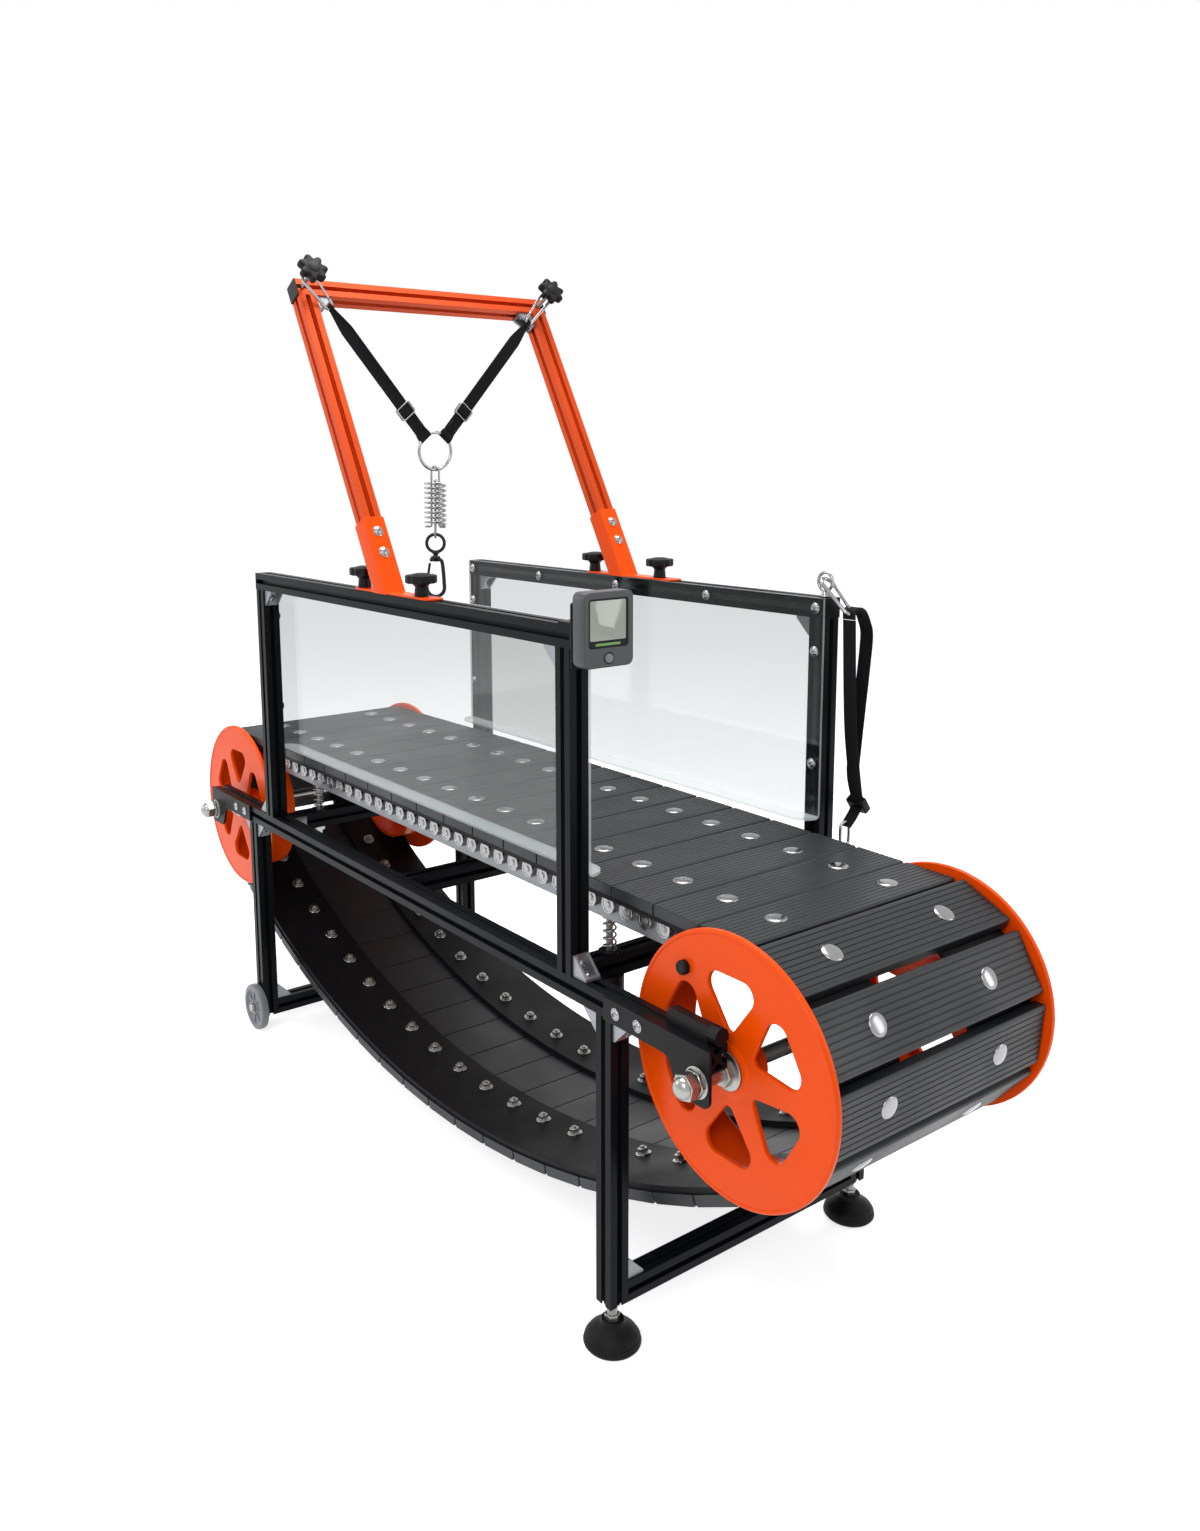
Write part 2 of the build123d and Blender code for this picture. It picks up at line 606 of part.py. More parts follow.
# Each foot is bent from sheet: a base along the rail and a sleeve round the post
FOOT_Z = GUARD_TOP + RUNNING_GAP
SLEEVE = PROFILE + 0.4
KNOB_X = (-82.0, 96.0)
with BuildPart() as arch_feet:
    for y in (-SIDE_Y, SIDE_Y):
        with BuildSketch(Plane.XY.offset(FOOT_Z)):
            with Locations(((ARCH_FOOT_FRONT - ARCH_FOOT_REAR) / 2, y)):
                RectangleRounded(ARCH_FOOT_FRONT + ARCH_FOOT_REAR, PROFILE, 12)
            with Locations((KNOB_X[0], y), (KNOB_X[1], y)):
                RegularPolygon(4.4, 8, mode=Mode.SUBTRACT)
        extrude(amount=SHEET)
        with BuildSketch(Plane(origin=arch_root + Vector(0, y, 0), x_dir=off_front, z_dir=along_post)):
            Rectangle(SLEEVE + 2 * SHEET, SLEEVE + 2 * SHEET)
            Rectangle(SLEEVE, SLEEVE, mode=Mode.SUBTRACT)
        extrude(amount=SLEEVE_LENGTH)
    split(bisect_by=Plane.XY.offset(FOOT_Z), keep=Keep.TOP)
keep(arch_feet, "arch_feet")

# Clamp knobs that lock the arch to the slots of the guard rails
KNOB_STUD = 3.8
for x, end in ((KNOB_X[0], "rear"), (KNOB_X[1], "front")):
    for y, side in ((-SIDE_Y, "left"), (SIDE_Y, "right")):
        with BuildPart() as knob:
            with BuildSketch(Plane.XY.offset(GUARD_TOP - 7)):
                with Locations((x, y)):
                    RegularPolygon(KNOB_STUD, 8)
            extrude(amount=20)
            with BuildSketch(Plane.XY.offset(FOOT_Z + SHEET + RUNNING_GAP)):
                with Locations((x, y)):
                    RegularPolygon(11, 12)
            extrude(amount=22)
            with BuildSketch(Plane.XY.offset(FOOT_Z + SHEET + RUNNING_GAP + 20)):
                with Locations((x, y)):
                    RegularPolygon(24, 20)
            extrude(amount=15)
            chamfer(knob.faces().sort_by(Axis.Z)[-1].edges(), 2.5)
        keep(knob, "clamp_knob_" + end + "_" + side)

# Star knobs on studs in the front slot of the top bar; the bridle hangs on the studs
STUD_Y = 240.0
STUD_REACH = 39.0
with BuildSketch() as star:
    RegularPolygon(19, 14)
    with PolarLocations(19.5, 7):
        RegularPolygon(7, 6)
for side, name in ((-1, "hanging_knob_left"), (1, "hanging_knob_right")):
    with BuildPart() as knob:
        stud_root = bar_centre + off_front * (PROFILE / 2) + Vector(0, side * STUD_Y, 0)
        stud_plane = Plane(origin=stud_root, x_dir=(0, 1, 0), z_dir=off_front)
        with BuildSketch(stud_plane.offset(-7)):
            RegularPolygon(KNOB_STUD, 8)
        extrude(amount=STUD_REACH + 7)
        with BuildSketch(stud_plane.offset(STUD_REACH - 3)):
            RegularPolygon(9, 12)
        extrude(amount=3)
        with BuildSketch(stud_plane.offset(STUD_REACH)):
            add(star.sketch)
        extrude(amount=15)
    keep(knob, name)

# Bridle, drawn in the plumb plane under the two studs
HANG_OFF = 25.0
stud_mid = bar_centre + off_front * (PROFILE / 2 + HANG_OFF)
hang = Plane(origin=stud_mid, x_dir=(0, 1, 0), z_dir=(UP.Z, 0, -UP.X))
CLIP_WIRE = 3.0
EYE_X = GUARD_LENGTH / 2 - 14
EYE_RISE = 23.0
EYE_RING = 13.5
STRAP_X = GUARD_LENGTH / 2 + 32
SNAP_Y = 240.0
CLIP_TOP_R = 11.0
CLIP_LOW_R = 7.0
CLIP_SPAN = 52.0
RING_RADIUS = 33.0
RING_WIRE = 2.8
RING_DROP = 281.0
STRAP_WIDTH = 24.0
STRAP = 3.2
clip_centre_y = 1.7
ring_touch = Vector(0, -RING_DROP)


def clip_frame(side):
    """Local frame of one bridle clip: origin at its wide end, Y away from the ring."""
    top = Vector(side * STUD_Y, 0)
    pull = (top - ring_touch).normalized()
    centre = top - pull * clip_centre_y
    return centre, pull


def clip_plane(side):
    centre, pull = clip_frame(side)
    origin = hang.from_local_coords(centre)
    up_dir = hang.x_dir * pull.X + hang.y_dir * pull.Y
    face_dir = hang.z_dir * -side
    return Plane(origin=origin, x_dir=up_dir.cross(face_dir), z_dir=face_dir)


clip_lean = asin((CLIP_TOP_R - CLIP_LOW_R) / CLIP_SPAN)
wide_end = Vector(CLIP_TOP_R * cos(clip_lean), -CLIP_TOP_R * sin(clip_lean))
small_end = Vector(CLIP_LOW_R * cos(clip_lean), -CLIP_SPAN - CLIP_LOW_R * sin(clip_lean))
side_run = small_end - wide_end
gate_top = wide_end + side_run * 0.12
gate_low = wide_end + side_run * 0.88


def bend(x, y, radius, start, turn, runs):
    """Corners of a wire bent round x, y in equal short runs."""
    angles = [radians(start + turn * i / runs) for i in range(runs + 1)]
    return [(x + radius * cos(a), y + radius * sin(a)) for a in angles]


def clip_body(plane):
    """An open wire clip on a plane, its gate side on +X, towards the middle."""
    lean_out = -degrees(clip_lean)
    with BuildLine(plane) as path:
        Polyline(
            tuple(gate_top)[:2],
            *bend(0, 0, CLIP_TOP_R, lean_out, 180 - 2 * lean_out, 9),
            *bend(0, -CLIP_SPAN, CLIP_LOW_R, 180 - lean_out, 180 + 2 * lean_out, 7),
            tuple(gate_low)[:2],
        )
    run = path.wires()[0]
    with BuildSketch(Plane(origin=run @ 0, x_dir=plane.z_dir, z_dir=run % 0)) as section:
        RegularPolygon(CLIP_WIRE, 6)
    sweep(section.sketch, path=run, transition=Transition.RIGHT)


def clip_gate(plane):
    """A gate that turns about its round lower end."""
    down = side_run.normalized()
    pivot = gate_low - down * (CLIP_WIRE + RUNNING_GAP)
    tip = gate_top + down * RUNNING_GAP
    across = Vector(-down.Y, down.X) * 2.6
    with BuildSketch(plane.offset(-2.4)) as outline:
        with BuildLine():
            Line(tip + across, pivot + across)
            ThreePointArc(pivot + across, pivot + down * 2.6, pivot - across)
            Line(pivot - across, tip - across)
            Line(tip - across, tip + across)
        make_face()
    extrude(outline.sketch, amount=4.8)
    return pivot


with BuildPart() as bridle_clips:
    for side in (-1, 1):
        clip_body(clip_plane(side))
keep(bridle_clips, "bridle_clips")

gate_pivots = {}
for side, name in ((-1, "clip_gate_left"), (1, "clip_gate_right")):
    with BuildPart() as gate:
        pivot = clip_gate(clip_plane(side))
    gate_pivots[name] = clip_plane(side).from_local_coords(pivot)
    keep(gate, name)

with BuildPart() as bridle_ring:
    ring_centre = hang.from_local_coords(Vector(0, -RING_DROP))
    with BuildSketch(Plane(origin=ring_centre, x_dir=(0, 1, 0), z_dir=hang.z_dir).offset(-RING_WIRE)):
        RegularPolygon(RING_RADIUS + RING_WIRE, 32)
        RegularPolygon(RING_RADIUS - RING_WIRE, 32, mode=Mode.SUBTRACT)
    extrude(amount=2 * RING_WIRE)
    chamfer(bridle_ring.edges().filter_by(lambda e: abs((e % 0).dot(hang.z_dir)) < 0.5), 1.4)
keep(bridle_ring, "bridle_ring")

# Webbing: a flat strap that narrows into the clip, with a sewn loop at each end
LOOP_WALL = 2.2
LOOP_INSIDE = 8.0
with BuildSketch() as loop_outer:
    Rectangle(LOOP_INSIDE + 2 * LOOP_WALL + 4, LOOP_INSIDE + 2 * LOOP_WALL)
    chamfer(loop_outer.vertices(), 4)
with BuildSketch() as loop_inner:
    Rectangle(LOOP_INSIDE + 4, LOOP_INSIDE)
    chamfer(loop_inner.vertices(), 2.8)
with BuildPart() as bridle_straps:
    for side in (-1, 1):
        centre, pull = clip_frame(side)
        upper = centre - pull * (CLIP_SPAN + CLIP_LOW_R)
        lower = ring_touch + pull * RING_RADIUS
        reach = (upper - lower).length
        origin = hang.from_local_coords(lower)
        along = hang.x_dir * pull.X + hang.y_dir * pull.Y
        strap_plane = Plane(origin=origin, x_dir=along, z_dir=hang.z_dir)
        start = LOOP_INSIDE / 2 + LOOP_WALL - 1
        stop = reach - start
        with BuildSketch(strap_plane.offset(-STRAP / 2)):
            with BuildLine():
                Polyline(
                    (start, -STRAP_WIDTH / 2),
                    (stop - 40, -STRAP_WIDTH / 2),
                    (stop, -5),
                    (stop, 5),
                    (stop - 40, STRAP_WIDTH / 2),
                    (start, STRAP_WIDTH / 2),
                    close=True,
                )
            make_face()
        extrude(amount=STRAP)
        for at, width in ((0, STRAP_WIDTH), (reach, 7)):
            loop_origin = strap_plane.from_local_coords(Vector(at, -width / 2, 0))
            with BuildSketch(Plane(origin=loop_origin, x_dir=along, z_dir=strap_plane.y_dir)):
                add(loop_outer.sketch)
                add(loop_inner.sketch, mode=Mode.SUBTRACT)
            extrude(amount=width)
keep(bridle_straps, "bridle_straps")

with BuildPart() as bridle_buckles:
    for side in (-1, 1):
        centre, pull = clip_frame(side)
        spot = ring_touch + pull * 92
        along = hang.x_dir * pull.X + hang.y_dir * pull.Y
        buckle_plane = Plane(origin=hang.from_local_coords(spot), x_dir=along, z_dir=hang.z_dir)
        for lift in (STRAP / 2, -STRAP / 2 - 2.6):
            with BuildSketch(buckle_plane.offset(lift)) as face:
                Rectangle(26, STRAP_WIDTH + 8)
                chamfer(face.vertices(), 3)
                with Locations((-6, 0), (6, 0)):
                    Rectangle(5, STRAP_WIDTH - 2, mode=Mode.SUBTRACT)
            extrude(amount=2.6)
        with BuildSketch(buckle_plane.offset(-STRAP / 2)):
            with Locations((0, -STRAP_WIDTH / 2 - 2.4), (0, STRAP_WIDTH / 2 + 2.4)):
                Rectangle(24, 3)
        extrude(amount=STRAP)
keep(bridle_buckles, "bridle_buckles")

# Shock spring: two wire loops that squeeze the coil between them when the lead pulls
plumb = -UP
SHOCK_TOP = 54.0
SHOCK_LENGTH = 79.0
SHOCK_COIL_RADIUS = 18.5
SHOCK_WIRE = 3.6
SHOCK_TURNS = 9
LOOP_R = 7.5
LOOP_WIRE = 2.0
shock_axis = ring_centre
camera_side = radians(35)
upper_dir = Vector(cos(camera_side), sin(camera_side), 0)
lower_dir = Vector(cos(camera_side), -sin(camera_side), 0)


def level(direction):
    """The direction turned into the plane that is level when the machine stands."""
    flat = direction - UP * direction.dot(UP)
    return flat.normalized()


def shock_loop(turn_at, hook_at, direction, sense):
    """A U-shaped wire: round end at turn_at, feet hooked outwards at hook_at."""
    out = level(direction)
    plane = Plane(origin=shock_axis + plumb * turn_at, x_dir=out, z_dir=out.cross(UP * -sense))
    run = (hook_at - turn_at) * sense
    with BuildLine(plane) as path:
        Polyline(
            (SHOCK_COIL_RADIUS + 1, run),
            (LOOP_R, run),
            *bend(0, 0, LOOP_R, 0, -180, 6),
            (-LOOP_R, run),
            (-SHOCK_COIL_RADIUS - 1, run),
        )
    route = path.wires()[0]
    with BuildSketch(Plane(origin=route @ 0, x_dir=plane.z_dir, z_dir=route % 0)) as section:
        RegularPolygon(LOOP_WIRE, 6)
    sweep(section.sketch, path=route, transition=Transition.RIGHT)


upper_turn = RING_RADIUS + LOOP_R - RING_WIRE - LOOP_WIRE - 1.0
shock_bottom = SHOCK_TOP + SHOCK_LENGTH
with BuildPart() as shock_upper:
    shock_loop(upper_turn, shock_bottom + LOOP_WIRE + 0.2, upper_dir, 1)
keep(shock_upper, "shock_upper")

with BuildPart() as shock_lower:
    shock_loop(shock_bottom + 14, SHOCK_TOP - LOOP_WIRE - 0.2, lower_dir, -1)
keep(shock_lower, "shock_lower")

coil_height = SHOCK_LENGTH - SHOCK_WIRE
print("shock spring gap", round(coil_gap(SHOCK_COIL_RADIUS, coil_height, SHOCK_TURNS, SHOCK_WIRE), 2))
with BuildPart() as shock_coil:
    base = shock_axis + plumb * (shock_bottom - SHOCK_WIRE / 2)
    with BuildLine() as wire:
        coil_run(base.X, base.Y, base.Z, SHOCK_COIL_RADIUS, coil_height, SHOCK_TURNS, UP)
    with BuildSketch(Plane(origin=wire.wires()[0] @ 0, z_dir=wire.wires()[0] % 0)):
        RegularPolygon(SHOCK_WIRE / 2, 4)
    sweep(path=wire.wires()[0])
keep(shock_coil, "shock_coil")

# Swivel eye and snap hook at the lead end
EYE_WIRE = 3.2
EYE_R = 16.0
EYE_DROP = shock_bottom + 14 + LOOP_R - LOOP_WIRE - EYE_WIRE - 0.6 + EYE_R
eye_centre = shock_axis + plumb * EYE_DROP
eye_across = level(Vector(sin(camera_side), cos(camera_side), 0))
eye_plane = Plane(origin=eye_centre, x_dir=eye_across, z_dir=eye_across.cross(UP))
with BuildPart() as lead_swivel:
    with BuildSketch(eye_plane.offset(-EYE_WIRE)):
        RegularPolygon(EYE_R + EYE_WIRE, 20)
        RegularPolygon(EYE_R - EYE_WIRE, 20, mode=Mode.SUBTRACT)
    extrude(amount=2 * EYE_WIRE)
    chamfer(lead_swivel.edges().filter_by(lambda e: abs((e % 0).dot(eye_plane.z_dir)) < 0.5), 1.6)
    with BuildSketch(Plane(origin=eye_centre + plumb * (EYE_R - 1), z_dir=plumb)):
        RegularPolygon(5, 10)
    extrude(amount=8)
keep(lead_swivel, "lead_swivel")

HOOK_TOP = EYE_DROP + EYE_R + 7 + RUNNING_GAP
HOOK_R = 16.0
HOOK_WIRE = 3.6
hook_plane = Plane(
    origin=shock_axis + plumb * HOOK_TOP, x_dir=eye_across, z_dir=eye_across.cross(UP)
)
HOOK_SPAN = 74.0
NOSE = 7.0
with BuildPart() as lead_hook:
    with BuildSketch(hook_plane):
        with BuildLine():
            Polyline((-9, 0), (9, 0), (13, -10), (-13, -10), close=True)
        make_face()
    extrude(amount=4, both=True)
    with BuildLine(hook_plane) as path:
        Polyline(
            (10, -7),
            *bend(0, HOOK_R - HOOK_SPAN, HOOK_R, 0, -180, 9),
            (-HOOK_R, HOOK_R - HOOK_SPAN + NOSE),
        )
    route = path.wires()[0]
    with BuildSketch(Plane(origin=route @ 0, x_dir=hook_plane.z_dir, z_dir=route % 0)):
        RegularPolygon(HOOK_WIRE, 6)
    sweep(path=route, transition=Transition.RIGHT)
keep(lead_hook, "lead_hook")

hook_tip = Vector(-HOOK_R, HOOK_R - HOOK_SPAN + NOSE)
gate_pivot = Vector(-10.5, -10 - 3 - RUNNING_GAP)
with BuildPart() as lead_gate:
    lie = (hook_tip - gate_pivot).normalized()
    end = hook_tip - lie * 0.9
    half = Vector(-lie.Y, lie.X) * 3
    with BuildSketch(hook_plane.offset(-2.6)):
        with BuildLine():
            Line(end + half, gate_pivot + half)
            ThreePointArc(gate_pivot + half, gate_pivot - lie * 3, gate_pivot - half)
            Line(gate_pivot - half, end - half)
            Line(end - half, end + half)
        make_face()
    extrude(amount=5.2)
keep(lead_gate, "lead_gate")
lead_gate_pivot = hook_plane.from_local_coords(gate_pivot)

# Button-head screws that hold the clear guards and the axle plates
with BuildPart() as frame_screws:
    screw_rows = []
    for side in (-1, 1):
        for x in (-POST_X, -232, 0, 232, POST_X):
            screw_rows.append((x, side, GUARD_TOP - PROFILE / 2))
        for x in (-POST_X, POST_X):
            for z in (GUARD_TOP - 80, GUARD_TOP - 250):
                screw_rows.append((x, side, z))
    for x, side, z in screw_rows:
        head = Plane(origin=(x, side * (PANEL_Y - PANEL_THICKNESS), z), z_dir=(0, -side, 0))
        with BuildSketch(head):
            RegularPolygon(8.5, 6)
        extrude(amount=4)
    for side in (-1, 1):
        for end in (-1, 1):
            for x in PLATE_SCREWS_X:
                head = Plane(
                    origin=(end * x, side * (HALF_WIDTH + PLATE), RAIL_TOP - PROFILE / 2),
                    z_dir=(0, side, 0),
                )
                with BuildSketch(head):
                    RegularPolygon(8, 6)
                extrude(amount=4)
    for side in (-1, 1):
        bolt_plane = Plane(origin=(-LEG_X, side * HALF_WIDTH, wheel_centre_z), z_dir=(0, side, 0))
        with BuildSketch(bolt_plane):
            RegularPolygon(6, 12)
        extrude(amount=18)
        with BuildSketch(bolt_plane.offset(17.5)):
            RegularPolygon(11, 12)
        extrude(amount=5)
keep(frame_screws, "frame_screws")

with BuildPart() as tether_eye:
    with BuildSketch(Plane.XY.offset(GUARD_TOP)):
        with Locations((EYE_X, SIDE_Y)):
            RegularPolygon(7, 6)
    extrude(amount=10)
    eye_plane_side = Plane(origin=(EYE_X, SIDE_Y, GUARD_TOP + EYE_RISE), x_dir=(1, 0, 0), z_dir=(0, -1, 0))
    with BuildSketch(eye_plane_side.offset(-2.4)):
        RegularPolygon(EYE_RING + 2.4, 18)
        RegularPolygon(EYE_RING - 2.4, 18, mode=Mode.SUBTRACT)
    extrude(amount=4.8)
keep(tether_eye, "tether_eye")

# The tether clip lies over the end of the guard rail; its webbing hangs in a long loop
tether_pull = Vector(-0.73, 0, 0.683)
tether_top = Vector(EYE_X - 3, SIDE_Y, GUARD_TOP + EYE_RISE + 4)
tether_plane = Plane(
    origin=tether_top - tether_pull * CLIP_TOP_R,
    x_dir=(0, 1, 0),
    z_dir=Vector(0, 1, 0).cross(tether_pull),
)
with BuildPart() as tether_clips:
    clip_body(tether_plane)
    clip_gate(tether_plane)
    snap_plane = Plane(origin=(STRAP_X, SNAP_Y, GUARD_TOP - 352), x_dir=(0, 1, 0), z_dir=(-1, 0, 0))
    with BuildSketch(snap_plane.offset(-2.5)):
        SlotCenterToCenter(22, 16, rotation=90)
        SlotCenterToCenter(22, 7, rotation=90, mode=Mode.SUBTRACT)
    extrude(amount=5)
keep(tether_clips, "tether_clips")

strap_end = tether_top - tether_pull * (CLIP_TOP_R + CLIP_SPAN + CLIP_LOW_R)
with BuildPart() as tether_strap:
    with BuildSketch(Plane.YZ.offset(STRAP_X - STRAP_WIDTH / 2)):
        with BuildLine() as loop:
            FilletPolyline(
                (SIDE_Y + 1, strap_end.Z - 9),
                (SIDE_Y + 1, strap_end.Z + 8),
                (SIDE_Y + 24, strap_end.Z + 6),
                (SIDE_Y + 42, GUARD_TOP - 52),
                (SIDE_Y + 34, GUARD_TOP - 130),
                (SIDE_Y + 27, GUARD_TOP - 190),
                (SIDE_Y + 17, GUARD_TOP - 262),
                (SIDE_Y + 34, GUARD_TOP - 306),
                radius=7,
            )
        trace(line_width=2.4)
        with BuildLine() as strand:
            FilletPolyline(
                (SIDE_Y + 1, strap_end.Z - 8),
                (SIDE_Y + 12, GUARD_TOP - 200),
                (SIDE_Y + 32, GUARD_TOP - 312),
                radius=60,
            )
        trace(line_width=2.4)
        with BuildLine() as tail:
            FilletPolyline(
                (SIDE_Y + 34, GUARD_TOP - 304),
                (SIDE_Y + 26, GUARD_TOP - 322),
                (SNAP_Y, GUARD_TOP - 341),
                radius=8,
            )
        trace(line_width=3.4)
    extrude(amount=STRAP_WIDTH)
    add(tether_clips.part, mode=Mode.SUBTRACT)
keep(tether_strap, "tether_strap")

with BuildPart() as tether_buckle:
    with Locations(Location((STRAP_X, SIDE_Y + 34, GUARD_TOP - 311), (35, 0, 0))):
        Box(STRAP_WIDTH + 8, 14, 24)
        Box(STRAP_WIDTH + 1, 10.5, 25, mode=Mode.SUBTRACT)
    add(tether_strap.part, mode=Mode.SUBTRACT)
keep(tether_buckle, "tether_buckle")


# Computer on its bracket at the front of the left guard
MOUNT_X = GUARD_LENGTH / 2 + 2
with BuildPart() as computer_mount:
    with BuildSketch(Plane.YZ.offset(MOUNT_X)):
        with Locations((-HALF_WIDTH + 22, GUARD_TOP - 14)):
            RectangleRounded(44, 84, 4)
    extrude(amount=SHEET)
    with BuildSketch(Plane.XY.offset(GUARD_TOP)):
        with Locations((MOUNT_X - 12, -SIDE_Y)):
            Rectangle(30, 28)
    extrude(amount=SHEET)
keep(computer_mount, "computer_mount")

CASE_W = 80.0
CASE_H = 96.0
CASE_D = 24.0
CASE_Z = GUARD_TOP - 6
case_face = Plane.YZ.offset(MOUNT_X + SHEET + RUNNING_GAP)
with BuildPart() as computer:
    with BuildSketch(case_face):
        with Locations((-HALF_WIDTH + CASE_W / 2, CASE_Z)):
            Rectangle(CASE_W, CASE_H)
    extrude(amount=CASE_D)
    chamfer(computer.edges().filter_by(Axis.X), 8)
    chamfer(computer.faces().sort_by(Axis.X)[-1].edges(), 3)
    with BuildSketch(case_face.offset(CASE_D)):
        with Locations((-HALF_WIDTH + CASE_W / 2, CASE_Z + 8)):
            Rectangle(64, 62)
    extrude(amount=-2, mode=Mode.SUBTRACT)
    with BuildSketch(case_face.offset(CASE_D)):
        with Locations((-HALF_WIDTH + CASE_W / 2, CASE_Z - 36)):
            RegularPolygon(6.5, 16)
    extrude(amount=-7, mode=Mode.SUBTRACT)
keep(computer, "computer")

with BuildPart() as computer_button:
    with BuildSketch(case_face.offset(CASE_D - 4.7)):
        with Locations((-HALF_WIDTH + CASE_W / 2, CASE_Z - 36)):
            RegularPolygon(6.1, 16)
    extrude(amount=6.7)
keep(computer_button, "computer_button")

# Speed sensor clamped on the front end of the left rail
with BuildPart() as speed_sensor:
    with Locations((690, -SIDE_Y + 6, RAIL_TOP + 9)):
        Box(70, 22, 18)
    chamfer(speed_sensor.edges().filter_by(Axis.X).group_by(Axis.Z)[-1], 5)
    with BuildSketch(Plane.YZ.offset(725)):
        with Locations((-SIDE_Y + 4, RAIL_TOP + 11)):
            RegularPolygon(11, 14)
    extrude(amount=15)
keep(speed_sensor, "speed_sensor")

# Levelling feet: a stem in the leg and a rubber dome that lies flat on the floor
for side, name in ((-1, "foot_left"), (1, "foot_right")):
    with BuildPart() as foot:
        floor_point = Vector(LEG_X, side * SIDE_Y, 0)
        sole = Plane(origin=floor_point, z_dir=UP)
        with BuildSketch(sole):
            RegularPolygon(FOOT_RADIUS - 3, 18)
        extrude(amount=5, taper=-30)
        with BuildSketch(sole.offset(5)):
            RegularPolygon(FOOT_RADIUS, 18)
        extrude(amount=10, taper=20)
        with BuildSketch(sole.offset(15)):
            RegularPolygon(FOOT_RADIUS - 3.7, 18)
        extrude(amount=16, taper=50)
        with BuildSketch(sole.offset(31)):
            RegularPolygon(16, 18)
        extrude(amount=6)
        with BuildSketch(Plane.XY.offset(30)):
            with Locations((LEG_X, side * SIDE_Y)):
                RegularPolygon(11.5, 12)
        extrude(amount=LEG_BOTTOM - RUNNING_GAP - 30)
    keep(foot, name)

# Transport wheels beside the rear legs
for side, name in ((-1, "transport_wheel_left"), (1, "transport_wheel_right")):
    with BuildPart() as wheel:
        hub_plane = Plane(
            origin=(-LEG_X, side * (HALF_WIDTH + 1), wheel_centre_z), x_dir=(1, 0, 0), z_dir=(0, side, 0)
        )
        with BuildSketch(hub_plane):
            RegularPolygon(WHEEL_RADIUS, 24)
            RegularPolygon(6.05, 12, major_radius=False, mode=Mode.SUBTRACT)
        extrude(amount=16)
        chamfer(wheel.faces().sort_by(Axis.Y)[-1].edges().filter_by(GeomType.LINE), 2)
        chamfer(wheel.faces().sort_by(Axis.Y)[0].edges().filter_by(GeomType.LINE), 2)
    keep(wheel, name)

# Origin under the middle of the whole machine, on the floor
spans = [(stand * piece).bounding_box() for piece in pieces]
middle = (min(span.min.X for span in spans) + max(span.max.X for span in spans)) / 2
stand = Pos(-middle, 0, 0) * stand

os.makedirs("parts", exist_ok=True)
for piece in pieces:
    placed = stand * piece
    placed.label = piece.label
    export_step(placed, "parts/" + piece.label + ".step")
print(len(pieces), "nodes, tilt", round(TILT, 3), "origin at x", round(middle, 2))
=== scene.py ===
"""Looks of the non-motorised slat treadmill for dogs: finishes, wound and woven pieces, hardware, light."""

import json
from math import asin, cos, hypot, pi, radians, sin, sqrt

import bmesh
import bpy
from mathutils import Matrix, Vector


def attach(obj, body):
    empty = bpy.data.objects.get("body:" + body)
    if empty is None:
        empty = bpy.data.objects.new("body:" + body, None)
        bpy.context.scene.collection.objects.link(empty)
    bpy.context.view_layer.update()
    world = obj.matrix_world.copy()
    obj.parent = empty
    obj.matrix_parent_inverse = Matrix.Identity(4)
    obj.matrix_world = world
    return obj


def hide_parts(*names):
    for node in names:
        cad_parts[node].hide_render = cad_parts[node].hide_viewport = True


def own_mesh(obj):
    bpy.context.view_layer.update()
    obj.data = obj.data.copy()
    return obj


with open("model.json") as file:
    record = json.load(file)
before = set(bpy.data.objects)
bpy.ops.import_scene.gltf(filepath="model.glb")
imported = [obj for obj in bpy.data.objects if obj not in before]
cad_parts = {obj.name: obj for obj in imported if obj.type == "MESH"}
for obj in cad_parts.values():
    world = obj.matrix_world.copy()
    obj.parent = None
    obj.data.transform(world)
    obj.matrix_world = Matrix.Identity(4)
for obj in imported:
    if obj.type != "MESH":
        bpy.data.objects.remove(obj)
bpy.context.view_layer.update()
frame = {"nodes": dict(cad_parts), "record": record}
scene = bpy.context.scene

# Machine frame, mm: X along the belt, Y across, Z along the posts. The stand tilts it a little.
TILT = radians(1.8312179583)
MACHINE = (
    Matrix.Translation((0.014284037, 0, -0.547 * sin(TILT)))
    @ Matrix.Rotation(-TILT, 4, "Y")
    @ Matrix.Scale(0.001, 4)
)
TURN = Matrix.Rotation(-TILT, 3, "Y")
UP = Vector((sin(TILT), 0, cos(TILT)))
X, Y, Z = Vector((1, 0, 0)), Vector((0, 1, 0)), Vector((0, 0, 1))


# ---------------------------------------------------------------- mesh helpers
class Shape:
    def __init__(self):
        self.verts, self.faces, self.slots = [], [], []

    def add(self, part, slot=0):
        verts, faces = part
        base = len(self.verts)
        self.verts += verts
        self.faces += [[base + i for i in face] for face in faces]
        self.slots += [slot] * len(faces)
        return self


def basis(axis, side=None):
    axis = Vector(axis).normalized()
    side = Vector(side) if side is not None else axis.orthogonal()
    side = (side - axis * side.dot(axis)).normalized()
    return side, axis.cross(side), axis


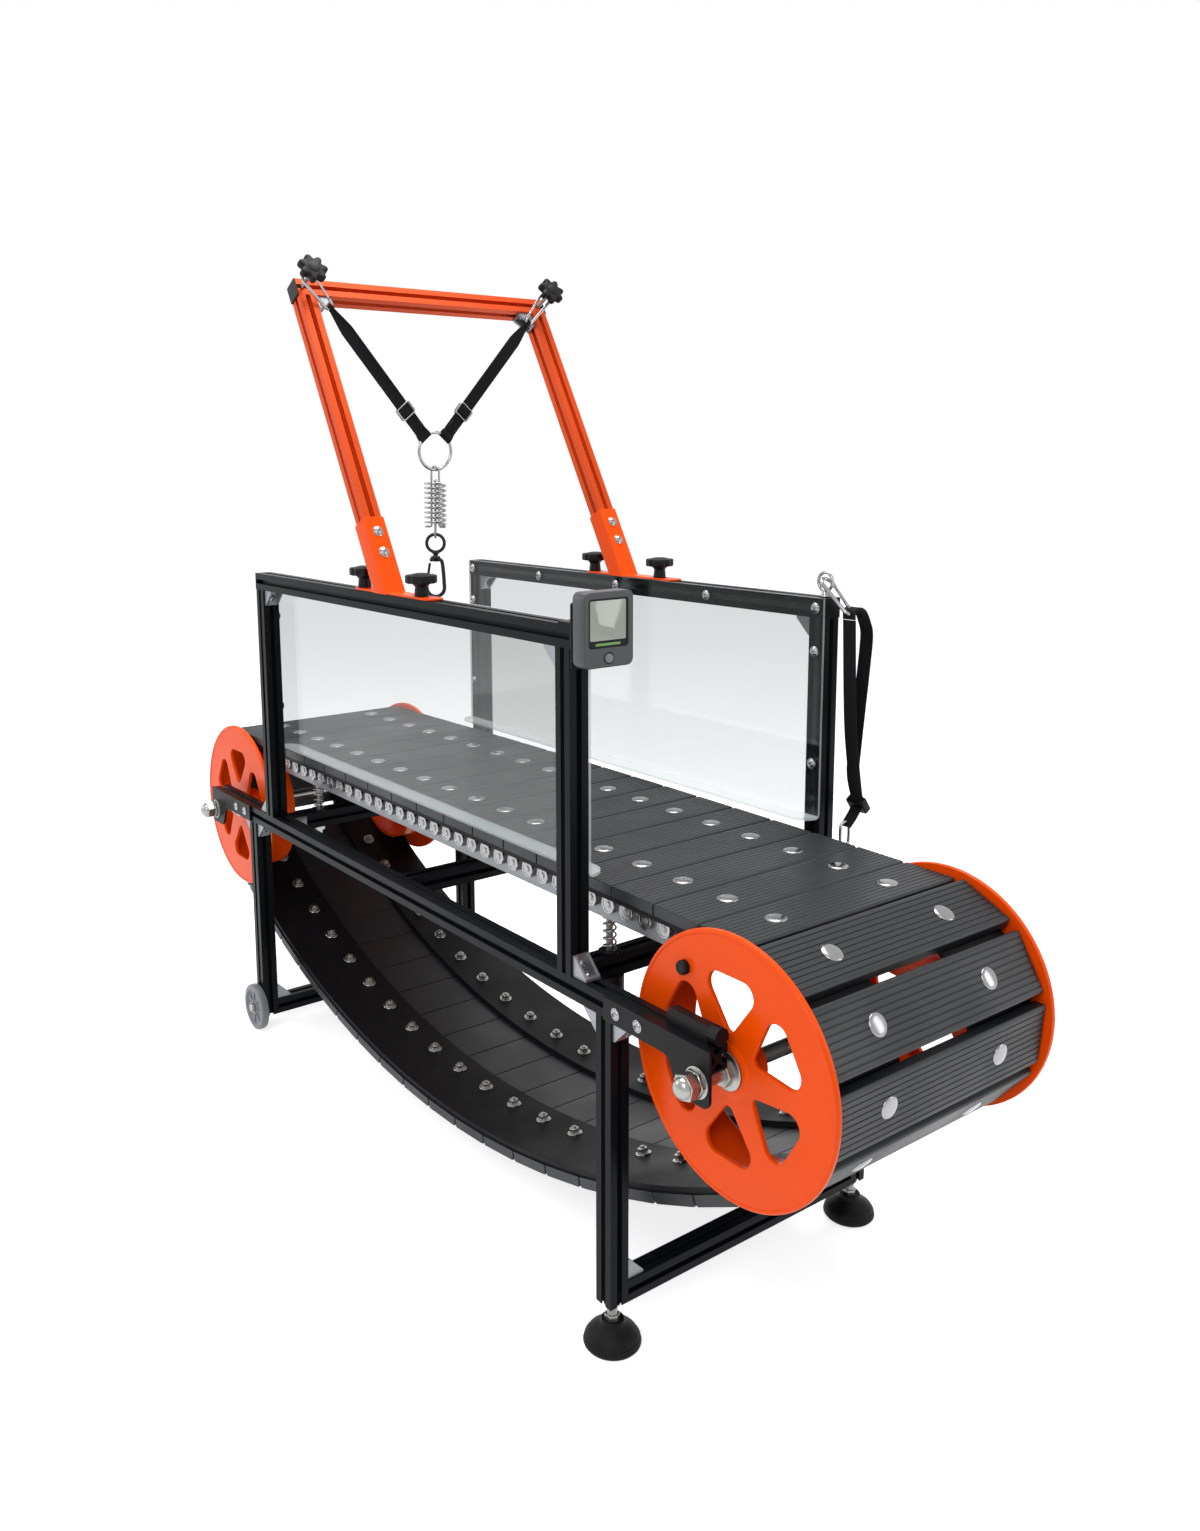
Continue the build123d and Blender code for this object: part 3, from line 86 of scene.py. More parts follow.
def lathe(profile, origin, axis, sides=32, closed=False, side=None):
    """Turns (radius, height) points round the axis; equal radii give walls, zero radii poles."""
    u, w, a = basis(axis, side)
    verts, rings, faces = [], [], []
    for r, h in profile:
        if r < 1e-6:
            rings.append([len(verts)])
            verts.append(Vector(origin) + a * h)
        else:
            rings.append(list(range(len(verts), len(verts) + sides)))
            for i in range(sides):
                t = 2 * pi * i / sides
                verts.append(Vector(origin) + a * h + u * (r * cos(t)) + w * (r * sin(t)))
    pairs = list(zip(rings, rings[1:])) + ([(rings[-1], rings[0])] if closed else [])
    for p, q in pairs:
        for i in range(sides):
            j = (i + 1) % sides
            if len(p) == 1 and len(q) == 1:
                continue
            if len(p) == 1:
                faces.append([p[0], q[i], q[j]])
            elif len(q) == 1:
                faces.append([p[i], p[j], q[0]])
            else:
                faces.append([p[i], p[j], q[j], q[i]])
    return verts, faces


def tube(points, radius, sides=12, closed=False):
    """A round wire along points, its section carried without twist."""
    pts = [Vector(p) for p in points]
    n = len(pts)
    verts, faces = [], []
    side = None
    for i, p in enumerate(pts):
        before = pts[i - 1] if i or closed else pts[0]
        after = pts[(i + 1) % n] if i < n - 1 or closed else pts[-1]
        tangent = (after - before).normalized()
        side = tangent.orthogonal() if side is None else side - tangent * side.dot(tangent)
        side.normalize()
        other = tangent.cross(side)
        for k in range(sides):
            t = 2 * pi * k / sides
            verts.append(p + side * (radius * cos(t)) + other * (radius * sin(t)))
    for i in range(n if closed else n - 1):
        a, b = i * sides, ((i + 1) % n) * sides
        for k in range(sides):
            m = (k + 1) % sides
            faces.append([a + k, a + m, b + m, b + k])
    if not closed:
        for end, way in ((0, -1), (n - 1, 1)):
            tip = pts[end] + (pts[end] - pts[end - way if way > 0 else 1]).normalized() * radius * 0.35
            centre = len(verts)
            verts.append(tip)
            for k in range(sides):
                faces.append([end * sides + k, end * sides + (k + 1) % sides, centre])
    return verts, faces


def shrink(outline, amount):
    """A closed outline moved inwards along its corner bisectors."""
    n = len(outline)
    area = sum(
        outline[i][0] * outline[(i + 1) % n][1] - outline[(i + 1) % n][0] * outline[i][1] for i in range(n)
    )
    way = 1 if area > 0 else -1
    moved = []
    for i in range(n):
        a, b, c = Vector(outline[i - 1]), Vector(outline[i]), Vector(outline[(i + 1) % n])
        d1, d2 = (b - a).normalized(), (c - b).normalized()
        n1, n2 = Vector((-d1.y, d1.x)) * way, Vector((-d2.y, d2.x)) * way
        mid = n1 + n2
        k = amount / max(0.4, 1 + n1.dot(n2))
        moved.append((b.x + mid.x * k, b.y + mid.y * k))
    return moved


def prism(outline, origin, u, w, low, high, round_off=0.0, steps=3):
    """An outline pushed along u x w between two heights, its end edges rounded."""
    u, w = Vector(u).normalized(), Vector(w).normalized()
    a = u.cross(w)
    if round_off:
        levels = [(low + round_off * (1 - cos(pi / 2 * i / steps)), round_off * (1 - sin(pi / 2 * i / steps)))
                  for i in range(steps + 1)]
        levels += [(high - (h - low), c) for h, c in reversed(levels)]
    else:
        levels = [(low, 0), (high, 0)]
    n = len(outline)
    verts, faces = [], []
    for h, c in levels:
        for x, y in shrink(outline, c) if c else outline:
            verts.append(Vector(origin) + u * x + w * y + a * h)
    for i in range(len(levels) - 1):
        for k in range(n):
            m = (k + 1) % n
            faces.append([i * n + k, i * n + m, (i + 1) * n + m, (i + 1) * n + k])
    faces.append(list(range(n))[::-1])
    faces.append([(len(levels) - 1) * n + k for k in range(n)])
    return verts, faces


def circle(radius, sides, x=0.0, y=0.0, start=0.0):
    return [
        (x + radius * cos(start + 2 * pi * i / sides), y + radius * sin(start + 2 * pi * i / sides))
        for i in range(sides)
    ]


def rounded(width, height, corner, x=0.0, y=0.0, steps=5):
    points = []
    for cx, cy, start in ((1, 1, 0), (-1, 1, 90), (-1, -1, 180), (1, -1, 270)):
        for i in range(steps + 1):
            t = radians(start + 90 * i / steps)
            points.append(
                (
                    x + cx * (width / 2 - corner) + corner * cos(t),
                    y + cy * (height / 2 - corner) + corner * sin(t),
                )
            )
    return points


def holed(outline, holes, thickness, bevel, origin, u, w):
    """A flat plate with holes and rounded edges, centred on its own mid plane."""
    curve = bpy.data.curves.new("plate", "CURVE")
    curve.dimensions = "2D"
    curve.fill_mode = "BOTH"
    curve.extrude = thickness / 2 - bevel
    curve.bevel_depth = bevel
    curve.bevel_resolution = 2
    curve.offset = -bevel
    for ring in [outline] + [list(reversed(hole)) for hole in holes]:
        spline = curve.splines.new("POLY")
        spline.points.add(len(ring) - 1)
        for point, (x, y) in zip(spline.points, ring):
            point.co = (x, y, 0, 1)
        spline.use_cyclic_u = True
    holder = bpy.data.objects.new("plate", curve)
    scene.collection.objects.link(holder)
    graph = bpy.context.evaluated_depsgraph_get()
    mesh = bpy.data.meshes.new_from_object(holder.evaluated_get(graph))
    u, w = Vector(u).normalized(), Vector(w).normalized()
    a = u.cross(w)
    verts = [Vector(origin) + u * v.co.x + w * v.co.y + a * v.co.z for v in mesh.vertices]
    faces = [list(p.vertices) for p in mesh.polygons]
    bpy.data.objects.remove(holder)
    bpy.data.curves.remove(curve)
    bpy.data.meshes.remove(mesh)
    return verts, faces


def smooth_path(points, per=8):
    """Catmull-Rom through the points, open."""
    pts = [Vector(p) for p in points]
    pts = [pts[0] * 2 - pts[1]] + pts + [pts[-1] * 2 - pts[-2]]
    out = []
    for i in range(1, len(pts) - 2):
        p0, p1, p2, p3 = pts[i - 1 : i + 3]
        for k in range(per):
            t = k / per
            out.append(
                0.5
                * (
                    (2 * p1)
                    + (p2 - p0) * t
                    + (2 * p0 - 5 * p1 + 4 * p2 - p3) * t * t
                    + (3 * p1 - p0 - 3 * p2 + p3) * t**3
                )
            )
    out.append(pts[-2])
    return out


def strip(points, side, width, thickness):
    """Flat webbing along points; width may be a list, one for each point."""
    pts = [Vector(p) for p in points]
    side = Vector(side).normalized()
    widths = width if isinstance(width, list) else [width] * len(pts)
    h = thickness / 2
    verts, faces = [], []
    for i, p in enumerate(pts):
        along = (pts[min(i + 1, len(pts) - 1)] - pts[max(i - 1, 0)]).normalized()
        normal = along.cross(side).normalized()
        half = widths[i] / 2
        section = [
            (-half, 0), (-half + 0.3 * h, -0.8 * h), (-half + 1.6, -h), (-half + 2.4, -0.72 * h),
            (half - 2.4, -0.72 * h), (half - 1.6, -h), (half - 0.3 * h, -0.8 * h), (half, 0),
            (half - 0.3 * h, 0.8 * h), (half - 1.6, h), (half - 2.4, 0.72 * h),
            (-half + 2.4, 0.72 * h), (-half + 1.6, h), (-half + 0.3 * h, 0.8 * h),
        ]
        verts += [p + side * s + normal * t for s, t in section]
    n = 14
    for i in range(len(pts) - 1):
        for k in range(n):
            m = (k + 1) % n
            faces.append([i * n + k, i * n + m, (i + 1) * n + m, (i + 1) * n + k])
    faces.append(list(range(n))[::-1])
    faces.append([(len(pts) - 1) * n + k for k in range(n)])
    return verts, faces


def hex_outline(flats, turn=0.0):
    return circle(flats / 2 / cos(pi / 6), 6, start=turn)


def hex_nut(flats, low, high, origin, axis, side=None, bore=0.0):
    """A chamfered hexagon: its six flats cut by a cone at the outer end."""
    u, w, a = basis(axis, side)
    shape = Shape()
    shape.add(prism(hex_outline(flats), origin, u, w, low, high - 0.9))
    outline = hex_outline(flats)
    mids = []
    for i in range(6):
        p, q = outline[i], outline[(i + 1) % 6]
        mids += [(p[0] * 0.93, p[1] * 0.93), ((p[0] + q[0]) * 0.492, (p[1] + q[1]) * 0.492)]
    verts = [Vector(origin) + u * x + w * y + a * (high - 0.9) for x, y in outline]
    verts += [Vector(origin) + u * x + w * y + a * high for x, y in mids]
    faces = []
    for i in range(6):
        j = (i + 1) % 6
        faces += [[i, j, 6 + 2 * i + 1], [i, 6 + 2 * i + 1, 6 + 2 * i], [j, 6 + 2 * j, 6 + 2 * i + 1]]
    faces.append([6 + k for k in range(12)])
    shape.add((verts, faces))
    return shape.verts, shape.faces


def button(radius, height, origin, axis, sides=28):
    """A domed screw head with a round socket."""
    u, w, a = basis(axis)
    shape = Shape()
    socket = radius * 0.36
    dome = [(0, 0), (radius, 0), (radius, height * 0.12)]
    for i in range(1, 7):
        t = pi / 2 * i / 6
        r = radius * cos(t)
        if r > socket * 1.2:
            dome.append((r, height * (0.12 + 0.88 * sin(t))))
    dome += [(socket * 1.15, height * 0.995), (socket * 1.1, height * 0.93)]
    dome += [(socket, height * 0.9), (socket * 0.98, height * 0.35), (0, height * 0.3)]
    shape.add(lathe(dome, origin, a, sides))
    return shape.verts, shape.faces


def helix(base, axis, radius, height, turns, side=X, per=28, flat=0.75):
    """Coil centreline with closed end turns."""
    u, w, a = basis(axis, side)
    points = []
    total = int(turns * per)
    for i in range(total + 1):
        t = i / per
        grow = min(1.0, t / flat, (turns - t) / flat)
        points.append((t, grow))
    heights, h = [0.0], 0.0
    for i in range(1, len(points)):
        h += 0.42 + 0.58 * points[i][1]
        heights.append(h)
    return [
        Vector(base) + u * (radius * cos(2 * pi * t)) + w * (radius * sin(2 * pi * t)) + a * (height * heights[i] / h)
        for i, (t, _) in enumerate(points)
    ]


def piece(name, shape, body, materials, nodes=(), angle=38):
    if isinstance(shape, tuple):
        shape = Shape().add(shape)
    mesh = bpy.data.meshes.new(name)
    mesh.from_pydata([MACHINE @ Vector(v) for v in shape.verts], [], shape.faces)
    for item in materials:
        mesh.materials.append(item)
    mesh.polygons.foreach_set("material_index", shape.slots)
    work = bmesh.new()
    work.from_mesh(mesh)
    bmesh.ops.recalc_face_normals(work, faces=work.faces)
    work.to_mesh(mesh)
    work.free()
    mesh.polygons.foreach_set("use_smooth", [True] * len(mesh.polygons))
    mesh.set_sharp_from_angle(angle=radians(angle))
    obj = bpy.data.objects.new(name, mesh)
    scene.collection.objects.link(obj)
    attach(obj, body)
    if nodes:
        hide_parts(*nodes)
    return obj


# ------------------------------------------------------------------- finishes
def surface(name, colour, metallic=0.0, roughness=0.4, spread=0.1, grain=260.0, stretch=(1, 1, 1),
            bump=0.12, bump_depth=0.0002, fleck=0.12, coat=0.0, bevel=0.0006, sheen=0.0, gloss=0.5):
    """A finish with two scales of tone, uneven roughness, fine relief and softened edges."""
    item = bpy.data.materials.new(name)
    item.use_nodes = True
    tree = item.node_tree
    nodes, link = tree.nodes, tree.links.new
    shader = nodes["Principled BSDF"]
    shader.inputs["Metallic"].default_value = metallic
    shader.inputs["Specular IOR Level"].default_value = gloss
    shader.inputs["Coat Weight"].default_value = coat
    shader.inputs["Coat Roughness"].default_value = 0.06
    shader.inputs["Sheen Weight"].default_value = sheen
    place = nodes.new("ShaderNodeTexCoord")
    mapping = nodes.new("ShaderNodeMapping")
    mapping.inputs["Scale"].default_value = stretch
    link(place.outputs["Object"], mapping.inputs["Vector"])
    fine = nodes.new("ShaderNodeTexNoise")
    fine.inputs["Scale"].default_value = grain
    fine.inputs["Detail"].default_value = 6
    link(mapping.outputs["Vector"], fine.inputs["Vector"])
    wide = nodes.new("ShaderNodeTexNoise")
    wide.inputs["Scale"].default_value = 7
    wide.inputs["Detail"].default_value = 4
    link(place.outputs["Object"], wide.inputs["Vector"])
    blend = nodes.new("ShaderNodeMath")
    blend.operation = "MULTIPLY_ADD"
    blend.inputs[1].default_value = 0.55
    link(fine.outputs["Fac"], blend.inputs[0])
    half = nodes.new("ShaderNodeMath")
    half.operation = "MULTIPLY"
    half.inputs[1].default_value = 0.45
    link(wide.outputs["Fac"], half.inputs[0])
    link(half.outputs[0], blend.inputs[2])
    tone = nodes.new("ShaderNodeMix")
    tone.data_type = "RGBA"
    tone.inputs[6].default_value = tuple(c * (1 - fleck) for c in colour) + (1,)
    tone.inputs[7].default_value = tuple(min(1, c * (1 + fleck)) for c in colour) + (1,)
    link(blend.outputs[0], tone.inputs[0])
    link(tone.outputs[2], shader.inputs["Base Color"])
    rough = nodes.new("ShaderNodeMapRange")
    rough.inputs["From Min"].default_value = 0.3
    rough.inputs["From Max"].default_value = 0.7
    rough.inputs["To Min"].default_value = max(0.03, roughness - spread)
    rough.inputs["To Max"].default_value = min(1.0, roughness + spread)
    link(wide.outputs["Fac"], rough.inputs["Value"])
    link(rough.outputs["Result"], shader.inputs["Roughness"])
    relief = nodes.new("ShaderNodeBump")
    relief.inputs["Strength"].default_value = bump
    relief.inputs["Distance"].default_value = bump_depth
    link(fine.outputs["Fac"], relief.inputs["Height"])
    if bevel:
        edge = nodes.new("ShaderNodeBevel")
        edge.samples = 4
        edge.inputs["Radius"].default_value = bevel
        link(edge.outputs["Normal"], relief.inputs["Normal"])
    link(relief.outputs["Normal"], shader.inputs["Normal"])
    return item


def woven(item, across, pitch, depth=0.0003, strength=0.6):
    """Adds two crossed bands of relief over a finish, for webbing and ribbed belt."""
    tree = item.node_tree
    nodes, link = tree.nodes, tree.links.new
    place = nodes.new("ShaderNodeTexCoord")
    relief = [n for n in nodes if n.type == "BUMP"][0]
    waves = []
    for direction, scale in across:
        wave = nodes.new("ShaderNodeTexWave")
        wave.bands_direction = direction
        wave.inputs["Scale"].default_value = scale / pitch
        wave.inputs["Distortion"].default_value = 0.6
        wave.inputs["Detail"].default_value = 1
        link(place.outputs["Object"], wave.inputs["Vector"])
        waves.append(wave)
    joint = nodes.new("ShaderNodeMath")
    joint.operation = "MAXIMUM"
    link(waves[0].outputs["Fac"], joint.inputs[0])
    link(waves[-1].outputs["Fac"], joint.inputs[1])
    second = nodes.new("ShaderNodeBump")
    second.inputs["Strength"].default_value = strength
    second.inputs["Distance"].default_value = depth
    link(joint.outputs[0], second.inputs["Height"])
    link(relief.outputs["Normal"], second.inputs["Normal"])
    link(second.outputs["Normal"], nodes["Principled BSDF"].inputs["Normal"])
    return item


def clear_sheet():
    item = bpy.data.materials.new("clear")
    item.use_nodes = True
    nodes, link = item.node_tree.nodes, item.node_tree.links.new
    nodes.remove(nodes["Principled BSDF"])
    through = nodes.new("ShaderNodeBsdfTransparent")
    through.inputs["Color"].default_value = (0.81, 0.82, 0.815, 1)
    gloss = nodes.new("ShaderNodeBsdfGlossy")
    smear = nodes.new("ShaderNodeTexNoise")
    smear.inputs["Scale"].default_value = 9
    smear.inputs["Detail"].default_value = 5
    rough = nodes.new("ShaderNodeMapRange")
    rough.inputs["To Min"].default_value = 0.02
    rough.inputs["To Max"].default_value = 0.09
    link(smear.outputs["Fac"], rough.inputs["Value"])
    link(rough.outputs["Result"], gloss.inputs["Roughness"])
    facing = nodes.new("ShaderNodeLayerWeight")
    facing.inputs["Blend"].default_value = 0.2
    shine = nodes.new("ShaderNodeMapRange")
    shine.inputs["To Min"].default_value = 0.02
    shine.inputs["To Max"].default_value = 0.2
    link(facing.outputs["Facing"], shine.inputs["Value"])
    face = nodes.new("ShaderNodeMixShader")
    link(shine.outputs["Result"], face.inputs["Fac"])
    link(through.outputs[0], face.inputs[1])
    link(gloss.outputs[0], face.inputs[2])
    pale = nodes.new("ShaderNodeBsdfPrincipled")
    pale.inputs["Base Color"].default_value = (0.74, 0.79, 0.8, 1)
    pale.inputs["Roughness"].default_value = 0.22
    pale.inputs["Alpha"].default_value = 0.5
    geometry = nodes.new("ShaderNodeNewGeometry")
    split = nodes.new("ShaderNodeSeparateXYZ")
    link(geometry.outputs["True Normal"], split.inputs[0])
    flat = nodes.new("ShaderNodeMath")
    flat.operation = "ABSOLUTE"
    link(split.outputs["Y"], flat.inputs[0])
    edge = nodes.new("ShaderNodeMath")
    edge.operation = "LESS_THAN"
    edge.inputs[1].default_value = 0.8
    link(flat.outputs[0], edge.inputs[0])
    both = nodes.new("ShaderNodeMixShader")
    link(edge.outputs[0], both.inputs["Fac"])
    link(face.outputs[0], both.inputs[1])
    link(pale.outputs[0], both.inputs[2])
    link(both.outputs[0], nodes["Material Output"].inputs["Surface"])
    return item


M = {
    "black_anodised": surface("black_anodised", (0.004, 0.005, 0.006), 0.0, 0.36, 0.07, 420, bump=0.1, gloss=0.09),
    "orange_anodised": surface("orange_anodised", (0.66, 0.068, 0.008), 0.3, 0.36, 0.06, 420, bump=0.1, gloss=0.15),
    "cast_grey": surface("cast_grey", (0.3, 0.31, 0.33), 0.75, 0.42, 0.08, 500, bump=0.35, fleck=0.18),
    "orange_paint": surface("orange_paint", (1.0, 0.083, 0.0), 0.0, 0.32, 0.07, 60, bump=0.12, bump_depth=0.0003,
                            fleck=0.06, coat=0.06, gloss=0.12),
    "black_paint": surface("black_paint", (0.005, 0.005, 0.006), 0.0, 0.38, 0.07, 380, bump=0.3, fleck=0.2, gloss=0.12),
    "zinc": surface("zinc", (0.34, 0.34, 0.325), 1.0, 0.28, 0.08, 140, bump=0.06, fleck=0.16, bevel=0.0003),
    "steel": surface("steel", (0.33, 0.33, 0.335), 1.0, 0.2, 0.06, 140, bump=0.05, fleck=0.12, bevel=0.0003),
    "belt": surface("belt", (0.005, 0.005, 0.006), 0.0, 0.5, 0.1, 200, bump=0.5, bump_depth=0.0006, fleck=0.3,
                    gloss=0.12),
    "slat": surface("slat", (0.011, 0.013, 0.0145), 0.0, 0.44, 0.1, 90, (6, 0.5, 6), bump=0.35, bump_depth=0.0004,
                    fleck=0.28, gloss=0.4),
    "clear": clear_sheet(),
    "rubber": surface("rubber", (0.006, 0.006, 0.006), 0.0, 0.5, 0.1, 240, bump=0.4, fleck=0.25, gloss=0.14),
    "grey_plastic": surface("grey_plastic", (0.2, 0.21, 0.225), 0.0, 0.45, 0.1, 260, bump=0.3, fleck=0.12),
    "black_plastic": surface("black_plastic", (0.006, 0.006, 0.0065), 0.0, 0.4, 0.08, 340, bump=0.35, fleck=0.2, gloss=0.16),
    "webbing": surface("webbing", (0.005, 0.005, 0.006), 0.0, 0.8, 0.1, 900, bump=0.5, bump_depth=0.0004,
                       fleck=0.35, sheen=0.05, bevel=0, gloss=0.15),
}
woven(M["webbing"], (("DIAGONAL", 0.25), ("Z", 0.25)), 0.0022)
woven(M["belt"], (("X", 0.3), ("Y", 0.3)), 0.0035, 0.0004, 0.35)
M["dark_case"] = surface("dark_case", (0.045, 0.047, 0.052), 0.0, 0.42, 0.06, 500, bump=0.4, fleck=0.15)
M["screen"] = surface("screen", (0.3, 0.34, 0.28), 0.0, 0.12, 0.04, 900, bump=0.04, fleck=0.05, coat=1.0, bevel=0)
M["green_strip"] = surface("green_strip", (0.16, 0.36, 0.08), 0.0, 0.35, 0.06, 500, bump=0.1, bevel=0)
M["black_zinc"] = surface("black_zinc", (0.03, 0.03, 0.033), 0.9, 0.3, 0.08, 340, bump=0.15, fleck=0.2, bevel=0.0003)
M["thread"] = surface("thread", (0.07, 0.07, 0.075), 0.0, 0.7, 0.1, 800, bump=0.3, bevel=0)

# CAD pieces that stay on show take the finish of their slot in the record
slot_of = {entry["node"]: entry["material_slot"] for entry in frame["record"]["subparts"]}
for name, obj in frame["nodes"].items():
    obj.data.materials.clear()
    obj.data.materials.append(M[slot_of[name]])


# ------------------------------------------------------------------ slat belt
AXLE_X, AXLE_Z, R_BELT, CROWN, SAG = 724.0, 447.0, 136.0, 5.0, 208.0
r_top = (AXLE_X**2 + (R_BELT + CROWN) ** 2 - R_BELT**2) / (2 * CROWN)
r_low = (AXLE_X**2 + (R_BELT + SAG) ** 2 - R_BELT**2) / (2 * SAG)
top_turn = asin(AXLE_X / (r_top - R_BELT))
low_turn = asin(AXLE_X / (r_low - R_BELT))
arcs = {
    "slats_top": (0, AXLE_Z + R_BELT + CROWN - r_top, r_top, pi / 2 + top_turn, 2 * top_turn),
    "slats_front": (AXLE_X, AXLE_Z, R_BELT, pi / 2 - top_turn, pi - top_turn - low_turn),
    "slats_bottom": (0, AXLE_Z - R_BELT - SAG + r_low, r_low, low_turn - pi / 2, 2 * low_turn),
    "slats_rear": (-AXLE_X, AXLE_Z, R_BELT, -pi / 2 - low_turn, pi - top_turn - low_turn),
}
belt_length = sum(r * t for _, _, r, _, t in arcs.values())
starts, s = [], 0.0
for name, arc in arcs.items():
    starts.append((s, name) + arc[:4])
    s += arc[2] * arc[4]
SLATS = 46
profile = [(-40.5, 0.0), (-40.5, 12.2), (-39.9, 13.2), (-38.4, 14.6), (-37.2, 15.0)]
for k in range(9):
    gx = -32.0 + 8.0 * k
    profile += [(gx - 1.0, 15.0), (gx - 0.5, 14.0), (gx + 0.5, 14.0), (gx + 1.0, 15.0)]
profile += [(37.2, 15.0), (38.4, 14.6), (39.9, 13.2), (40.5, 12.2), (40.5, 0.0)]
first_s = r_top * top_turn + 700.0
belt_frames = {name: [] for name in arcs}
for i in range(SLATS):
    s = (first_s + i * belt_length / SLATS) % belt_length
    s0, name, cx, cz, r, a0 = [a for a in starts if a[0] <= s][-1]
    a = a0 - (s - s0) / r
    out = Vector((cos(a), 0, sin(a)))
    belt_frames[name].append((Vector((cx, 0, cz)) + out * (r + 4), Vector((-sin(a), 0, cos(a))), out))
for name, frames in belt_frames.items():
    planks, domes, nuts = Shape(), Shape(), Shape()
    for origin, along, out in frames:
        side = out.cross(along)
        verts, faces = [], []
        n = len(profile)
        for y, c in ((-193.0, 0.7), (-192.3, 0.0), (192.3, 0.0), (193.0, 0.7)):
            for px, pz in profile:
                verts.append(origin + along * px * (1 - c / 40) + out * (pz - (c if pz > 7 else 0)) + Y * y)
        for j in range(3):
            for k in range(n):
                m = (k + 1) % n
                faces.append([j * n + k, j * n + m, (j + 1) * n + m, (j + 1) * n + k])
        faces += [list(range(n))[::-1], [3 * n + k for k in range(n)]]
        planks.add((verts, faces))
        for y in (-104.5, 104.5):
            seat = origin + Y * y
            dome = [(0, 14.2), (14, 14.2), (14, 15.0)]
            dome += [(14 * cos(t), 15.0 + 2.6 * sin(t)) for t in (0.25, 0.55, 0.85, 1.15, 1.38)] + [(0, 17.6)]
            domes.add(lathe(dome, seat, out, 28))
            nuts.add(lathe([(0, -8), (12, -8), (12, -9.8), (11.4, -10.4), (0, -10.4)], seat, out, 24))
            nuts.add(hex_nut(13, 10.4, 17.5, seat, -out, along))
            nuts.add(lathe([(0, 17.4), (3.6, 17.4), (3.6, 19.5), (3, 20), (0, 20)], seat, -out, 14))
    piece(name + "_planks", planks, "frame", [M["slat"]], [name], 30)
    piece(name + "_domes", domes, "frame", [M["steel"]], ())
    piece(name + "_nuts", nuts, "frame", [M["zinc"]], ())

# --------------------------------------------------------------- flanged drums
windows = []
for k in range(6):
    turn = pi / 6 + k * pi / 3
    raw = [(54 + 8 * cos(t), 8 * sin(t)) for t in [pi / 2 + 0.55 + (pi - 1.1) * i / 8 for i in range(9)]]
    for cy, a0, a1 in ((-20, -pi / 2 - 0.55, 0.0), (20, 0.0, pi / 2 + 0.55)):
        raw += [(97 + 17 * cos(a0 + (a1 - a0) * i / 12), cy + 17 * sin(a0 + (a1 - a0) * i / 12)) for i in range(13)]
    windows.append([(x * cos(turn) - y * sin(turn), x * sin(turn) + y * cos(turn)) for x, y in raw])
for end, x in (("front", AXLE_X), ("rear", -AXLE_X)):
    wheels = Shape()
    for side in (-1, 1):
        centre = Vector((x, side * 200.5, AXLE_Z))
        out = Vector((0, side, 0))
        u, w, a = basis(out, X)
        wheels.add(holed(circle(165.4, 120), windows + [circle(12, 24)], 6.8, 1.3, centre, u, w))
        face = Vector((x, side * 204.0, AXLE_Z))
        rim = [(131.2, -7), (131.2, -64), (130.2, -65), (126.6, -65), (125.7, -64), (125.7, -7)]
        wheels.add(lathe(rim, face, out, 96, closed=True, side=X))
        hub = [(10.2, -38), (26, -38), (28.5, -36), (30, -8), (34, -6.9), (34, -0.2), (29, 1.9), (22, 1.9), (20, 1.2),
               (10.2, 1.2)]
        wheels.add(lathe(hub, face, out, 48, closed=True, side=X))
        lip = [(159.5, -0.3), (160.5, 0.9), (163.6, 0.9), (164.6, -0.3)]
        wheels.add(lathe(lip, face, out, 120, closed=True, side=X))
    piece(end + "_wheels_cast", wheels, end + "_drum", [M["orange_paint"]], [end + "_wheels"])

axle = Shape()
for x in (-AXLE_X, AXLE_X):
    thread = [(0, -270)]
    for k in range(-14, 15):
        h = k * 19.0
        thread += [(9.8, h - 8), (9.8, h + 8)]
    thread.append((0, 270))
    axle.add(lathe(thread, (x, 0, AXLE_Z), Y, 24))
    for side in (-1, 1):
        out = Vector((0, side, 0))
        root = Vector((x, 0, AXLE_Z))
        axle.add(lathe([(0, 206.3), (23.2, 206.3), (24, 206.9), (24, 208.7), (23.2, 209.3), (0, 209.3)], root, out, 40))
        axle.add(hex_nut(30, 209.3, 219.3, root, out, X))
        axle.add(lathe([(0, 254), (19, 254), (19, 255.6), (18.4, 256), (0, 256)], root, out, 36))
        axle.add(hex_nut(30, 255, 262, root, out, X))
        axle.add(hex_nut(30, 264, 277, root, out, X + Z * 0.3))
        dome = [(13.4, 276.5)] + [(13.2 * cos(t), 277 + 9.6 * sin(t)) for t in [pi / 2 * i / 8 for i in range(8)]]
        axle.add(lathe(dome + [(0, 286.6)], root, out, 36))
piece("axle_hardware", axle, "frame", [M["zinc"]], ["axles"])

magnet = Shape()
spot = Vector((AXLE_X + 127 * cos(radians(127)), -204, AXLE_Z + 127 * sin(radians(127))))
magnet.add(lathe([(0, 0), (8.6, 0), (9, 0.5), (9, 6.5), (8, 8.2), (6.5, 8.8), (5.2, 8.8), (4.8, 8.2), (0, 8.2)], spot, -Y, 36))
piece("magnet_cap", magnet, "front_drum", [M["black_plastic"]], ["cadence_magnet"])

